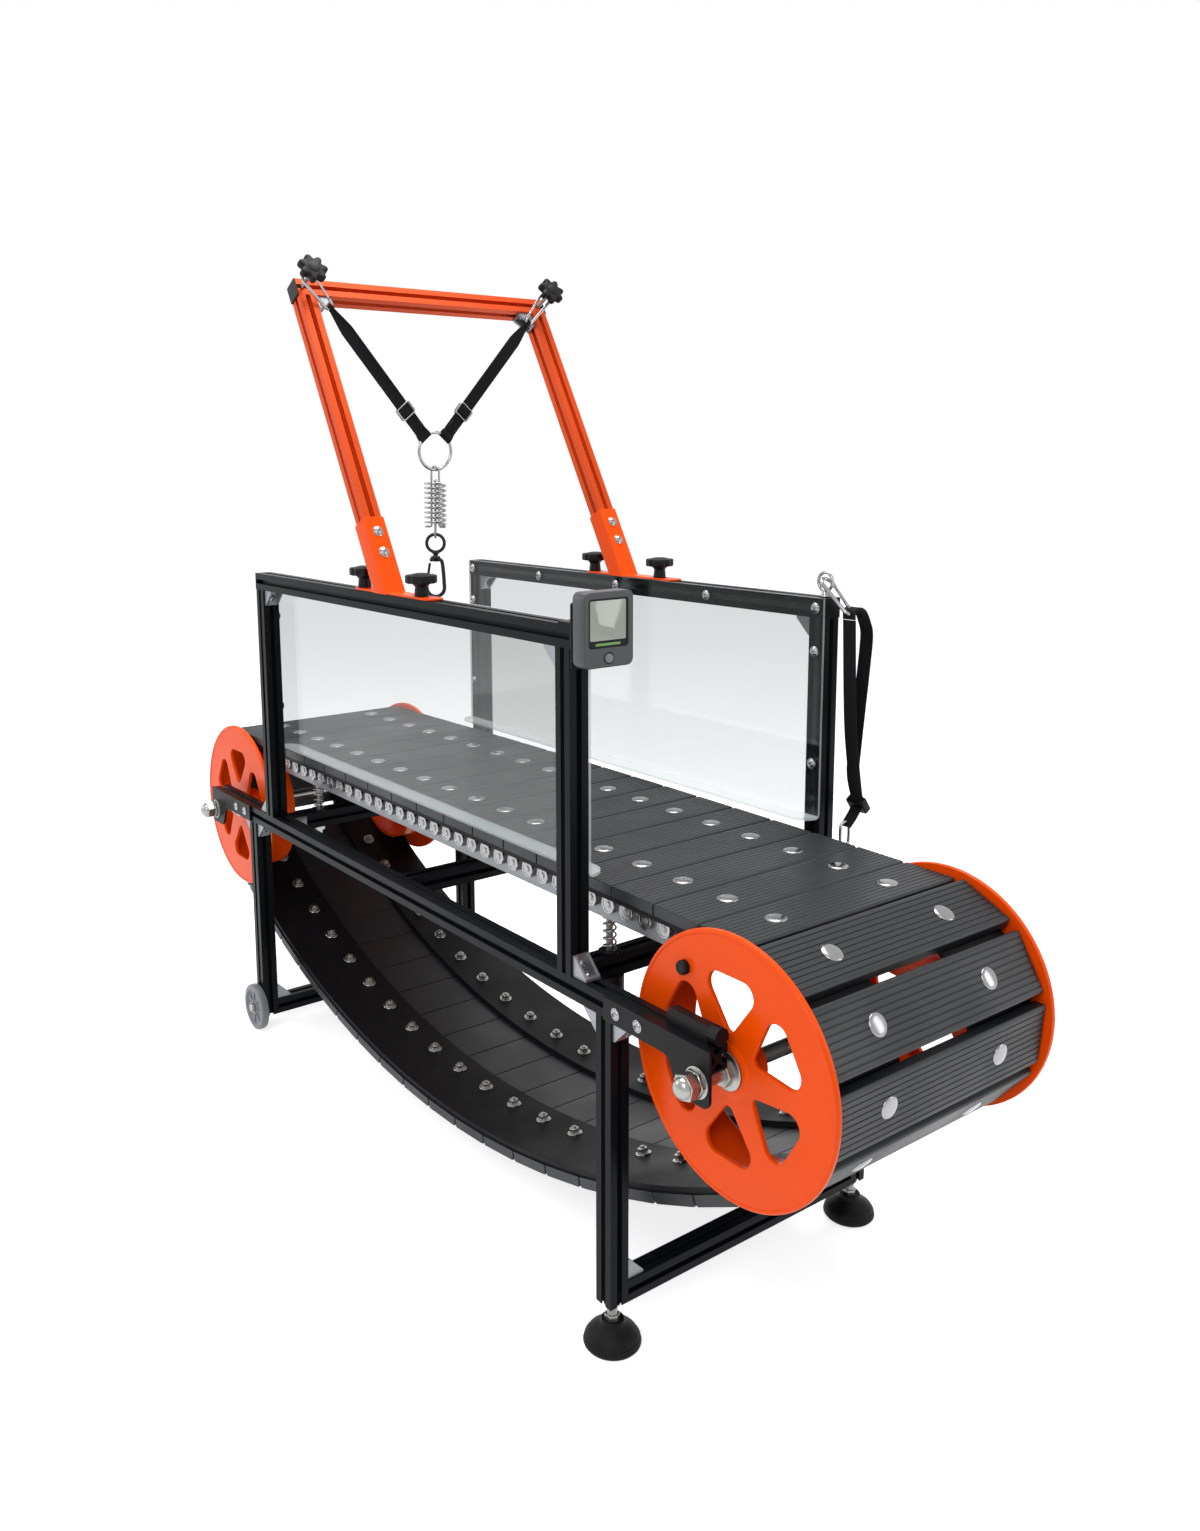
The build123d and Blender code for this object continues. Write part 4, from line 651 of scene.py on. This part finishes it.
# ------------------------------------------------------------------ roller bed
bearings = Shape()
for side in (-1, 1):
    out = Vector((0, side, 0))
    for i in range(32):
        seat = Vector(((i - 15.5) * 37.2, side * 169.5, 567.3))
        ring = [(0, 0.4), (9, 0.4), (9.6, 0.2), (12.2, 0.2), (12.8, 0.8), (12.8, 7.0), (12.2, 7.6), (9.9, 7.6),
                (9.5, 6.9), (6.6, 6.9), (6.3, 7.4), (4.6, 7.4), (0, 7.4)]
        bearings.add(lathe(ring, seat, out, 28))
        bearings.add(hex_nut(8.5, 4.5, 8.4, seat, out, X + Z * 0.17 * (i % 5)), 1)
piece("bed_bearings", bearings, "bed", [M["steel"], M["zinc"]], ["bed_rollers"])

coils = Shape()
for x in (-445, 445):
    for y in (-157, 157):
        coils.add(tube(helix((x, y, 494.5), Z, 8.7, 47.2, 5), 1.35, 10))
springs = piece("bed_spring_wires", coils, "bed", [M["zinc"]], ["bed_springs"], 60)
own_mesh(springs)

# ------------------------------------------------------------------- the arch
LEAN = radians(29.5)
along_post = Vector((-sin(LEAN), 0, cos(LEAN)))
off_front = Vector((cos(LEAN), 0, sin(LEAN)))
root = Vector((0, 0, 950))
bar_centre = root + along_post * 552.5

sheet_feet = Shape()
for y in (-235, 235):
    seat = Vector((0, y, 950))
    base = [(x + 23, yy) for x, yy in rounded(238, 30, 12)]
    holes = [circle(4.4, 16, kx) for kx in (-82, 96)]
    sheet_feet.add(holed(base, holes, 2.9, 0.5, seat + Z * 1.8, X, Y))
    outer, inner = rounded(36.4, 36.4, 3.4, steps=4), rounded(30.4, 30.4, 1.2, steps=4)
    verts, faces = [], []
    n = len(outer)
    for ring in (outer, inner):
        for px, py in ring:
            lowest = seat + off_front * px + Y * py
            drop = (950.3 - lowest.z) / along_post.z
            verts.append(lowest + along_post * drop)
    for c, ring in ((0.5, outer), (0.0, outer), (0.0, inner)):
        for px, py in ring:
            k = 1 - c / 18
            verts.append(seat + off_front * px * k + Y * py * k + along_post * (123.4 + (0.5 if c or ring is inner else 0)))
    for k in range(n):
        m = (k + 1) % n
        faces += [[k, m, 3 * n + m, 3 * n + k], [n + k, n + m, 4 * n + m, 4 * n + k],
                  [3 * n + k, 3 * n + m, 2 * n + m, 2 * n + k], [2 * n + k, 2 * n + m, 4 * n + m, 4 * n + k]]
    sheet_feet.add((verts, faces))
    for h in (62, 98):
        head = seat + off_front * 18.2 + along_post * h
        sheet_feet.add(lathe([(0, 0), (8.6, 0), (8.6, 0.7), (8.2, 1), (0, 1)], head, off_front, 28), 1)
        sheet_feet.add(button(6.8, 3.2, head + off_front * 0.8, off_front, 28), 1)
piece("arch_foot_sheets", sheet_feet, "arch", [M["orange_paint"], M["steel"]], ["arch_feet"])

grip = []
for i in range(96):
    t = 2 * pi * i / 96
    grip.append(((23.1 + 0.8 * cos(12 * t)) * cos(t), (23.1 + 0.8 * cos(12 * t)) * sin(t)))
for kx, end in ((-82, "rear"), (96, "front")):
    for y, side in ((-235, "left"), (235, "right")):
        name = "clamp_knob_" + end + "_" + side
        knob = Shape()
        seat = Vector((kx, y, 953.3))
        knob.add(lathe([(0, 0), (9.8, 0), (10.8, 1), (9.4, 14), (14, 19), (0, 19)], seat, Z, 32))
        knob.add(prism(grip, seat, X, Y, 19.4, 32, 2.2))
        top = [(14.5, 31.6), (15, 32.4), (13, 33.2), (9, 34.2), (0, 34.8)]
        knob.add(lathe(top, seat, Z, 40))
        knob.add(lathe([(0, -10), (3.7, -10), (3.7, 2), (0, 2)], seat, Z, 16), 1)
        piece(name + "_grip", knob, name, [M["black_plastic"], M["zinc"]], [name])

star = []
for i in range(196):
    t = 2 * pi * i / 196
    phi = (t + pi / 7) % (2 * pi / 7) - pi / 7
    star.append(((22.2 + 3.6 * cos(7 * t) - 0.5 * cos(14 * t)) * cos(t), (22.2 + 3.6 * cos(7 * t) - 0.5 * cos(14 * t)) * sin(t)))
for side, name in ((-1, "hanging_knob_left"), (1, "hanging_knob_right")):
    knob = Shape()
    seat = bar_centre + off_front * 15 + Y * (side * 240)
    u, w, a = basis(off_front, Y)
    knob.add(prism(star, seat, u, w, 39.2, 53.2, 3.4, 5))
    knob.add(lathe([(9.5, 52.6), (10, 53.6), (8.6, 54), (0, 54)], seat, off_front, 36))
    knob.add(lathe([(0, 36), (8.6, 36), (9, 36.5), (9, 39.6), (0, 39.6)], seat, off_front, 30))
    thread = [(0, -6.6)] + [(3.4 + 0.35 * (k % 2), -6.6 + 0.95 * k) for k in range(46)] + [(0, 38)]
    knob.add(lathe(thread, seat, off_front, 14), 1)
    piece(name + "_star", knob, name, [M["black_plastic"], M["zinc"]], [name])

arch_screws = Shape()
for side in (-1, 1):
    place = bar_centre - along_post * 15 + Y * (side * 220)
    for leg, rise in ((Y * -side, -along_post), (-along_post, Y * -side)):
        arch_screws.add(button(5.6, 3.4, place + leg * 15 + rise * 4, rise, 24))
piece("arch_bracket_screws", arch_screws, "arch", [M["steel"]], ())

# ---------------------------------------------------------------------- bridle
stud_mid = bar_centre + off_front * 40
face_dir = Vector((UP.z, 0, -UP.x))
RING_DROP, RING_R = 281.0, 33.0
ring_centre = stud_mid - UP * RING_DROP
lean_in = asin(4.0 / 52.0)


def pull_of(side):
    flat = Vector((side * 240.0, RING_DROP)).normalized()
    return Y * flat.x + UP * flat.y, flat


def clip_points(origin, px, py):
    """The open wire of a clip in its own plane, its gap on +X."""
    wide = Vector((11 * cos(lean_in), -11 * sin(lean_in)))
    small = Vector((7 * cos(lean_in), -52 - 7 * sin(lean_in)))
    gate_top, gate_low = wide.lerp(small, 0.12), wide.lerp(small, 0.88)
    flat = [gate_top, wide]
    flat += [Vector((11 * cos(t), 11 * sin(t))) for t in [-lean_in + (pi + 2 * lean_in) * i / 22 for i in range(1, 22)]]
    flat += [Vector((7 * cos(t), -52 + 7 * sin(t))) for t in [pi + lean_in + (pi - 2 * lean_in) * i / 16 for i in range(17)]]
    flat += [gate_low]
    down = (small - wide).normalized()
    return [origin + px * p.x + py * p.y for p in flat], gate_top, gate_low, down


def clip_shapes(origin, px, py):
    wire, gate_top, gate_low, down = clip_points(origin, px, py)
    body, gate = Shape(), Shape()
    body.add(tube(wire, 2.9, 14))
    pivot, tip = gate_low - down * 3.3, gate_top + down * 0.3
    a, b = origin + px * pivot.x + py * pivot.y, origin + px * tip.x + py * tip.y
    way = (b - a).normalized()
    gate.add(tube([a - way * 1.6, a, a.lerp(b, 0.5), b], 2.3, 14))
    normal = px.cross(py).normalized()
    gate.add(lathe([(0, -2.4), (1.2, -2.4), (1.4, -2.2), (1.4, 2.2), (1.2, 2.4), (0, 2.4)], a, normal, 14))
    return body, gate


clips, straps, slides, stitches = Shape(), Shape(), Shape(), Shape()
for side, name in ((-1, "left"), (1, "right")):
    pull, flat = pull_of(side)
    top = stud_mid + Y * (side * 240.0)
    centre = top - pull * 1.7
    normal = face_dir * -side
    px = pull.cross(normal)
    body, gate = clip_shapes(centre, px, pull)
    clips.add((body.verts, body.faces))
    piece("clip_gate_%s_arm" % name, gate, "clip_gate_" + name, [M["steel"]], ["clip_gate_" + name])
    upper, lower = centre - pull * 59, ring_centre + pull * RING_R
    reach = (upper - lower).length
    across = face_dir.cross(pull).normalized()
    # the flat webbing, narrowing towards the clip
    n = 26
    path = [lower.lerp(upper, (9 + (reach - 15) * i / n) / reach) for i in range(n + 1)]
    widths = [24 if (reach - (9 + (reach - 15) * i / n)) > 44 else 10.5 + 13.5 * max(0, (reach - (9 + (reach - 15) * i / n)) - 5) / 39
              for i in range(n + 1)]
    straps.add(strip(path, across, widths, 2.9))
    for at, width, turn in ((lower, 24, 1), (upper, 8, -1)):
        out = pull * turn
        loop = []
        for i in range(21):
            t = pi / 2 + pi * i / 20
            loop.append(at + out * (5.0 * cos(t)) + face_dir * (4.7 * sin(t)))
        loop = [at + out * 10 + face_dir * 2.0] + loop + [at + out * 10 - face_dir * 2.0]
        straps.add(strip(loop, across, width, 1.9))
    for j in range(4):
        for k in (-8, 8):
            a = lower + pull * (20 + 4 * j) + across * k
            stitches.add(tube([a + face_dir * 1.5 - pull * 1.3, a + face_dir * 1.75, a + face_dir * 1.5 + pull * 1.3], 0.35, 6))
    spot = ring_centre + pull * 92
    for lift_by in (2.6, -2.6):
        frame_wire = [spot + face_dir * lift_by + pull * px + across * py for px, py in rounded(22.6, 28.6, 3.4)]
        slides.add(tube(frame_wire, 1.35, 12, closed=True))
        fold = [(-10.6, 1.4), (-8.5, 2.6), (-5, 3.3), (0, 3.5), (5, 3.3), (8.5, 2.6), (10.6, 1.4)]
        way = 1 if lift_by > 0 else -1
        straps.add(strip([spot + pull * at + face_dir * (way * up) for at, up in fold], across, 23.4, 1.1))
piece("bridle_clip_wires", clips, "bridle", [M["steel"]], ["bridle_clips"], 60)
piece("bridle_webbing", straps, "bridle", [M["webbing"]], ["bridle_straps"], 50)
piece("bridle_stitches", stitches, "bridle", [M["thread"]], ())
piece("bridle_slides", slides, "bridle", [M["steel"]], ["bridle_buckles"])
ring = [ring_centre + Y * (RING_R * cos(t)) + UP * (RING_R * sin(t)) for t in [2 * pi * i / 72 for i in range(72)]]
piece("bridle_ring_wire", tube(ring, 2.75, 16, closed=True), "bridle", [M["steel"]], ["bridle_ring"], 60)

# ---------------------------------------------------------------- shock spring
plumb = -UP
cam = radians(35)


def level(direction):
    return (direction - UP * direction.dot(UP)).normalized()


def loop_wire(turn_at, hook_at, direction, sense):
    out = level(direction)
    rise = UP * -sense
    origin = ring_centre + plumb * turn_at
    run = (hook_at - turn_at) * sense
    flat = [(19.6, run - 0.2), (12, run), (9.2, run - 0.5), (7.9, run - 2.2), (7.5, run - 5)]
    flat += [(7.5 * cos(-pi * i / 14), 7.5 * sin(-pi * i / 14)) for i in range(15)]
    flat += [(-7.5, run - 5), (-7.9, run - 2.2), (-9.2, run - 0.5), (-12, run), (-19.6, run - 0.2)]
    return [origin + out * px + rise * py for px, py in flat]


upper_turn = 33 + 7.5 - 2.8 - 2.0 - 1.0
piece("shock_upper_wire", tube(loop_wire(upper_turn, 135.2, Vector((cos(cam), sin(cam), 0)), 1), 1.95, 12), "shock",
      [M["steel"]], ["shock_upper"], 60)
piece("shock_lower_wire", tube(loop_wire(147, 51.8, Vector((cos(cam), -sin(cam), 0)), -1), 1.95, 12), "shock_slider",
      [M["steel"]], ["shock_lower"], 60)
shock_base = ring_centre + plumb * 131.2
coil = piece("shock_coil_wire", tube(helix(shock_base, UP, 18.5, 75.4, 9), 1.9, 12), "shock", [M["steel"]],
             ["shock_coil"], 60)
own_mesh(coil)

eye_centre = ring_centre + plumb * 164.7
eye_across = level(Vector((sin(cam), cos(cam), 0)))
swivel = Shape()
swivel.add(tube([eye_centre + eye_across * (16 * cos(t)) + UP * (16 * sin(t)) for t in [2 * pi * i / 48 for i in range(48)]], 3.0, 14, closed=True))
swivel.add(lathe([(0, 14.5), (6.4, 14.8), (7, 16), (6.4, 18.5), (4.6, 20), (4.4, 22.6), (0, 22.6)], eye_centre, plumb, 24))
piece("lead_swivel_eye", swivel, "swivel", [M["black_zinc"]], ["lead_swivel"], 60)

hook_top = ring_centre + plumb * 188.0
hook = Shape()
normal = eye_across.cross(UP)


def hook_at(px, py):
    return hook_top + eye_across * px + UP * py


hook.add(lathe([(0, 0), (7, 0), (8.6, 1), (8.8, 3.5), (6.8, 6.5), (5.2, 9.8), (0, 9.8)], hook_top, plumb, 28))
shoulder = [hook_at(-10, -7), hook_at(-4, -6.6), hook_at(4, -6.6), hook_at(10, -8), hook_at(12.6, -16)]
arc = [hook_at(16 * cos(-pi * i / 20), -58 + 16 * sin(-pi * i / 20)) for i in range(21)]
hook.add(tube(smooth_path(shoulder + [hook_at(15.2, -42)], 6)[:-1] + arc + [hook_at(-16, -52)], 3.4, 14))
piece("lead_hook_wire", hook, "hook", [M["black_zinc"]], ["lead_hook"], 60)
gate_base, gate_tip = hook_at(-10.5, -13.3), hook_at(-15.9, -50.6)
gate = Shape().add(tube([gate_base, gate_base.lerp(gate_tip, 0.5), gate_tip], 2.4, 12))
thumb = gate_base.lerp(gate_tip, 0.45)
gate.add(lathe([(0, 0), (2.2, 0.4), (2.6, 1.4), (2.0, 2.6), (0, 3)], thumb - normal * 0.2, normal, 16))
piece("lead_gate_arm", gate, "hook_gate", [M["black_zinc"]], ["lead_gate"], 60)

# ----------------------------------------------------------------- fasteners
screws = Shape()
for side in (-1, 1):
    spots = [(x, 935.0) for x in (-465, -232, 0, 232, 465)] + [(x, z) for x in (-465, 465) for z in (870, 700)]
    for x, z in spots:
        seat = Vector((x, side * 216, z))
        screws.add(lathe([(0, 0), (8.3, 0), (8.3, 0.9), (7.9, 1.2), (0, 1.2)], seat, Vector((0, -side, 0)), 28))
        screws.add(button(6.6, 3.0, seat - Y * (side * 1.0), Vector((0, -side, 0))))
    for x in (-618, -576, 576, 618):
        seat = Vector((x, side * 254, 475))
        screws.add(lathe([(0, 0), (8, 0), (8, 0.8), (7.6, 1.1), (0, 1.1)], seat, Vector((0, side, 0)), 28))
        screws.add(button(6.4, 3.1, seat + Y * (side * 0.8), Vector((0, side, 0))))
    bolt = Vector((-547, side * 250, 80))
    out = Vector((0, side, 0))
    screws.add(lathe([(0, 0), (5.9, 0), (5.9, 17), (10.6, 17.3), (11, 17.8), (11, 18.6), (0, 18.8)], bolt, out, 28))
    screws.add(hex_nut(15, 18.4, 22.3, bolt, out, X))
for side in (-1, 1):
    for end in (-1, 1):
        corners = [
            ((end * 532, side * 235, 460), (-end, 0, 0), (0, 0, -1)),
            ((end * 562, side * 235, 460), (end, 0, 0), (0, 0, -1)),
            ((end * 547, side * 220, 90), (0, -side, 0), (0, 0, 1)),
            ((end * 480, side * 235, 490), (end, 0, 0), (0, 0, 1)),
            ((end * 450, side * 235, 920), (-end, 0, 0), (0, 0, -1)),
            ((end * 430, side * 220, 475), (-end, 0, 0), (0, -side, 0)),
        ]
        for place, leg, rise in corners:
            leg, rise = Vector(leg), Vector(rise)
            screws.add(button(5.6, 3.4, Vector(place) + leg * 15 + rise * 4, rise, 24))
            screws.add(button(5.6, 3.4, Vector(place) + rise * 15 + leg * 4, leg, 24))
piece("screw_heads", screws, "frame", [M["steel"]], ["frame_screws"])

# ------------------------------------------------------- feet and small wheels
for side, name in ((-1, "foot_left"), (1, "foot_right")):
    floor_point = Vector((547, side * 235, 0))
    foot = Shape()
    dome = [(0, 0), (34.5, 0), (36.2, 0.8), (38.4, 3.6), (38.8, 5.4), (38.2, 7.4), (35.4, 14.2), (33.2, 17.6), (22, 25.6),
            (17.4, 29.4), (15.8, 31.6), (15.4, 36), (14.4, 36.9), (0, 36.9)]
    foot.add(lathe(dome, floor_point, UP, 64))
    foot.add(lathe([(36.9, 9.8), (37.6, 10.2), (37.3, 11.4), (36.4, 11.5)], floor_point, UP, 64, closed=True))
    stem = Vector((547, side * 235, 30))
    foot.add(hex_nut(18, 4, 13, stem, Z, X), 1)
    foot.add(lathe([(0, 10)] + [(6.6 + 0.4 * (k % 2), 11 + 0.95 * k) for k in range(19)] + [(0, 29)], stem, Z, 24), 1)
    foot.add(lathe([(0, 26.6), (10.6, 26.6), (11.3, 27.2), (11.3, 29.2), (10.8, 29.6), (0, 29.6)], stem, Z, 32), 1)
    piece(name + "_dome", foot, name, [M["rubber"], M["zinc"]], [name])
for side, name in ((-1, "transport_wheel_left"), (1, "transport_wheel_right")):
    hub = Vector((-547, side * 251, 80))
    out = Vector((0, side, 0))
    tyre = [(6.4, 0.5), (30, 0.5), (31, 1.4), (33, 1.4), (34, 0.4), (41.5, 0.4), (44, 1.6), (44.8, 4), (44.8, 12), (44, 14.4),
            (41.5, 15.6), (34, 15.6), (33, 13.4), (30.4, 12.2), (17, 12.2), (15.6, 13.2), (14.6, 15.4), (6.4, 15.4)]
    wheel = Shape().add(lathe(tyre, hub, out, 64, closed=True))
    for k in range(8):
        t = 2 * pi * k / 8
        arm = hub + X * (23 * cos(t)) + Z * (23 * sin(t))
        direction = X * cos(t) + Z * sin(t)
        wheel.add(prism(rounded(15, 2.4, 1, steps=3), arm, direction, out.cross(direction), 11.8, 14.2))
    piece(name + "_tyre", wheel, name, [M["grey_plastic"]], [name])

# --------------------------------------------------------------------- tether
if "tether_strap" in frame["nodes"]:
    pull = Vector((-0.73, 0, 0.683)).normalized()
    tether_top = Vector((463, 235, 977))
    body, gate = clip_shapes(tether_top - pull * 11, Y.copy(), pull)
    snap = Vector((512, 240, 598))
    hardware = Shape().add((body.verts, body.faces)).add((gate.verts, gate.faces))
    link_path = [snap + Y * (9.6 * cos(t)) + Z * (11 * (1 if sin(t) > 0 else -1) * min(1, abs(sin(t)) * 3) + 7.6 * sin(t))
                 for t in [2 * pi * i / 40 for i in range(40)]]
    hardware.add(tube(link_path, 2.3, 10, closed=True))
    piece("tether_clip_wires", hardware, "tether", [M["steel"]], ["tether_clips"], 60)
    band = Shape()
    long_run = [(236, 921), (236.5, 934), (246, 938), (259, 932.5), (270, 915), (276, 893), (271, 840), (265, 790),
                (258, 730), (254.5, 692), (260, 665), (268, 646)]
    band.add(strip(smooth_path([Vector((512, y, z)) for y, z in long_run], 6), X, 23.4, 2.2))
    near_run = [(236.5, 920), (238.5, 880), (242, 815), (247, 752), (256, 695), (266.5, 640)]
    band.add(strip(smooth_path([Vector((512, y, z)) for y, z in near_run], 6), X, 23.4, 2.2))
    tail = [(268.5, 644), (263, 632), (252, 619), (241, 609.5)]
    band.add(strip(smooth_path([Vector((512, y, z)) for y, z in tail], 6), X, 20, 3.0))
    piece("tether_webbing", band, "tether", [M["webbing"]], ["tether_strap"], 50)
    shell = Shape()
    tilt_u = (Y * cos(radians(35)) + Z * sin(radians(35))).normalized()
    tilt_w = X.copy()
    spot = Vector((512, 269, 639))
    shell.add(holed(rounded(13.6, 31.6, 3.4), [rounded(10, 25, 2)], 22, 1.2, spot, tilt_u, tilt_w))
    piece("tether_buckle_shell", shell, "tether", [M["black_plastic"]], ["tether_buckle"])
if "tether_eye" in frame["nodes"]:
    eye = Shape()
    eye.add(lathe([(0, 0), (6.6, 0), (7, 0.5), (6.8, 2.4), (5.4, 4), (4.8, 10.4), (0, 10.4)], (466, 235, 950), Z, 28))
    eye.add(tube([Vector((466 + 13.5 * cos(t), 235, 973 + 13.5 * sin(t))) for t in [2 * pi * i / 40 for i in range(40)]], 2.35, 12, closed=True))
    piece("tether_eye_ring", eye, "frame", [M["zinc"]], ["tether_eye"], 60)

# ------------------------------------------------------------------- computer
case = Shape()
cx, cy, cz = 485.3, -210.0, 944.0
u, w = Y.copy(), Z.copy()
spot = Vector((cx, cy, cz))
case.add(prism(rounded(79.6, 95.6, 9), spot, u, w, 0.2, 21.4, 2.4, 4))
case.add(holed(rounded(79, 95, 9), [rounded(63, 61, 4, 0, 8), circle(7.2, 28, 0, -36)], 4.0, 1.4, spot + X * 22, u, w))
case.add(prism(rounded(62.6, 60.6, 3.8, 0, 8), spot, u, w, 21.2, 22.0), 1)
case.add(prism(rounded(57, 50, 2.0, 0, 11.5), spot, u, w, 21.6, 22.3, 0.2, 2), 2)
case.add(prism(rounded(40, 3.2, 1.0, 0, -18.5), spot, u, w, 21.6, 22.2, 0.2, 2), 3)
piece("computer_case", case, "computer",
      [M["dark_case"], M["black_plastic"], M["screen"], M["green_strip"]], ["computer"])
press = Shape()
press.add(lathe([(0, 23.0), (6, 23.0), (6, 24.6), (5.4, 25.6), (4, 26.0), (0, 26.1)], Vector((cx, cy, cz - 36)), X, 36))
piece("computer_button_cap", press, "computer_button", [M["grey_plastic"]], ["computer_button"])

# ---------------------------------------------------------------------- stage
def seen_directly(nodes, link):
    """1 for camera, mirror and see-through rays, 0 for the light that falls on the machine."""
    path = nodes.new("ShaderNodeLightPath")
    value = path.outputs["Is Camera Ray"]
    for kind in ("Is Glossy Ray", "Is Transmission Ray"):
        either = nodes.new("ShaderNodeMath")
        either.operation = "MAXIMUM"
        link(value, either.inputs[0])
        link(path.outputs[kind], either.inputs[1])
        value = either.outputs[0]
    return value


floor_mesh = bpy.data.meshes.new("floor")
floor_mesh.from_pydata([(-14, -14, 0), (14, -14, 0), (14, 14, 0), (-14, 14, 0)], [], [[0, 1, 2, 3]])
floor = bpy.data.objects.new("floor", floor_mesh)
scene.collection.objects.link(floor)
ground = bpy.data.materials.new("ground")
ground.use_nodes = True
nodes, link = ground.node_tree.nodes, ground.node_tree.links.new
nodes["Principled BSDF"].inputs["Base Color"].default_value = (0.82, 0.82, 0.82, 1)
nodes["Principled BSDF"].inputs["Roughness"].default_value = 0.9
nodes["Principled BSDF"].inputs["Specular IOR Level"].default_value = 0.1
glow = nodes.new("ShaderNodeEmission")
level_of = nodes.new("ShaderNodeMath")
level_of.operation = "MULTIPLY"
level_of.inputs[1].default_value = 0.72
link(seen_directly(nodes, link), level_of.inputs[0])
link(level_of.outputs[0], glow.inputs["Strength"])
add = nodes.new("ShaderNodeAddShader")
link(nodes["Principled BSDF"].outputs[0], add.inputs[0])
link(glow.outputs[0], add.inputs[1])
link(add.outputs[0], nodes["Material Output"].inputs["Surface"])
floor_mesh.materials.append(ground)

world = bpy.data.worlds.new("studio")
scene.world = world
world.use_nodes = True
nodes, link = world.node_tree.nodes, world.node_tree.links.new
back = nodes["Background"]
back.inputs["Color"].default_value = (0.93, 0.96, 1.0, 1)
back.inputs["Strength"].default_value = 0.4
white = nodes.new("ShaderNodeBackground")
white.inputs["Color"].default_value = (1, 1, 1, 1)
white.inputs["Strength"].default_value = 1.0
both = nodes.new("ShaderNodeMixShader")
link(seen_directly(nodes, link), both.inputs["Fac"])
link(back.outputs[0], both.inputs[1])
link(white.outputs[0], both.inputs[2])
link(both.outputs[0], nodes["World Output"].inputs["Surface"])


def lamp(name, place, target, size, energy, colour=(1, 1, 1)):
    data = bpy.data.lights.new(name, "AREA")
    data.shape = "RECTANGLE"
    data.size, data.size_y = size
    data.energy = energy
    data.color = colour
    obj = bpy.data.objects.new(name, data)
    scene.collection.objects.link(obj)
    obj.location = place
    obj.rotation_euler = (Vector(target) - Vector(place)).to_track_quat("-Z", "Y").to_euler()
    return obj


lamp("key", (2.2, -2.6, 3.0), (0.1, 0, 0.6), (1.8, 1.8), 50, (1, 0.98, 0.95))
lamp("side", (3.2, 2.4, 1.7), (0.2, 0, 0.6), (1.2, 2.2), 18)
lamp("left", (-2.6, -2.8, 2.0), (-0.2, 0, 0.6), (1.4, 2.0), 30, (0.95, 0.98, 1))
lamp("overhead", (-0.4, 0.2, 3.6), (0, 0, 0.6), (2.6, 1.6), 95)

yaw, pitch, roll = radians(53.23), radians(-8.99), radians(-0.33)
d = Vector((-sin(yaw) * cos(pitch), cos(yaw) * cos(pitch), sin(pitch)))
right = Vector((cos(yaw), sin(yaw), 0))
up = right.cross(d)
right2 = right * cos(roll) + up * sin(roll)
up2 = up * cos(roll) - right * sin(roll)
camera = bpy.data.cameras.new("camera")
camera.lens = 29.30
camera.sensor_width = 36
camera.shift_x = 0.02456
camera.shift_y = -0.0697
camera.clip_end = 60
eye = bpy.data.objects.new("camera", camera)
scene.collection.objects.link(eye)
axes = Matrix((TURN @ right2, TURN @ up2, TURN @ -d)).transposed()
eye.matrix_world = Matrix.Translation(MACHINE @ Vector((1701.4, -1173.4, 1149.9))) @ axes.to_4x4()
scene.camera = eye
scene.view_settings.view_transform = "Standard"
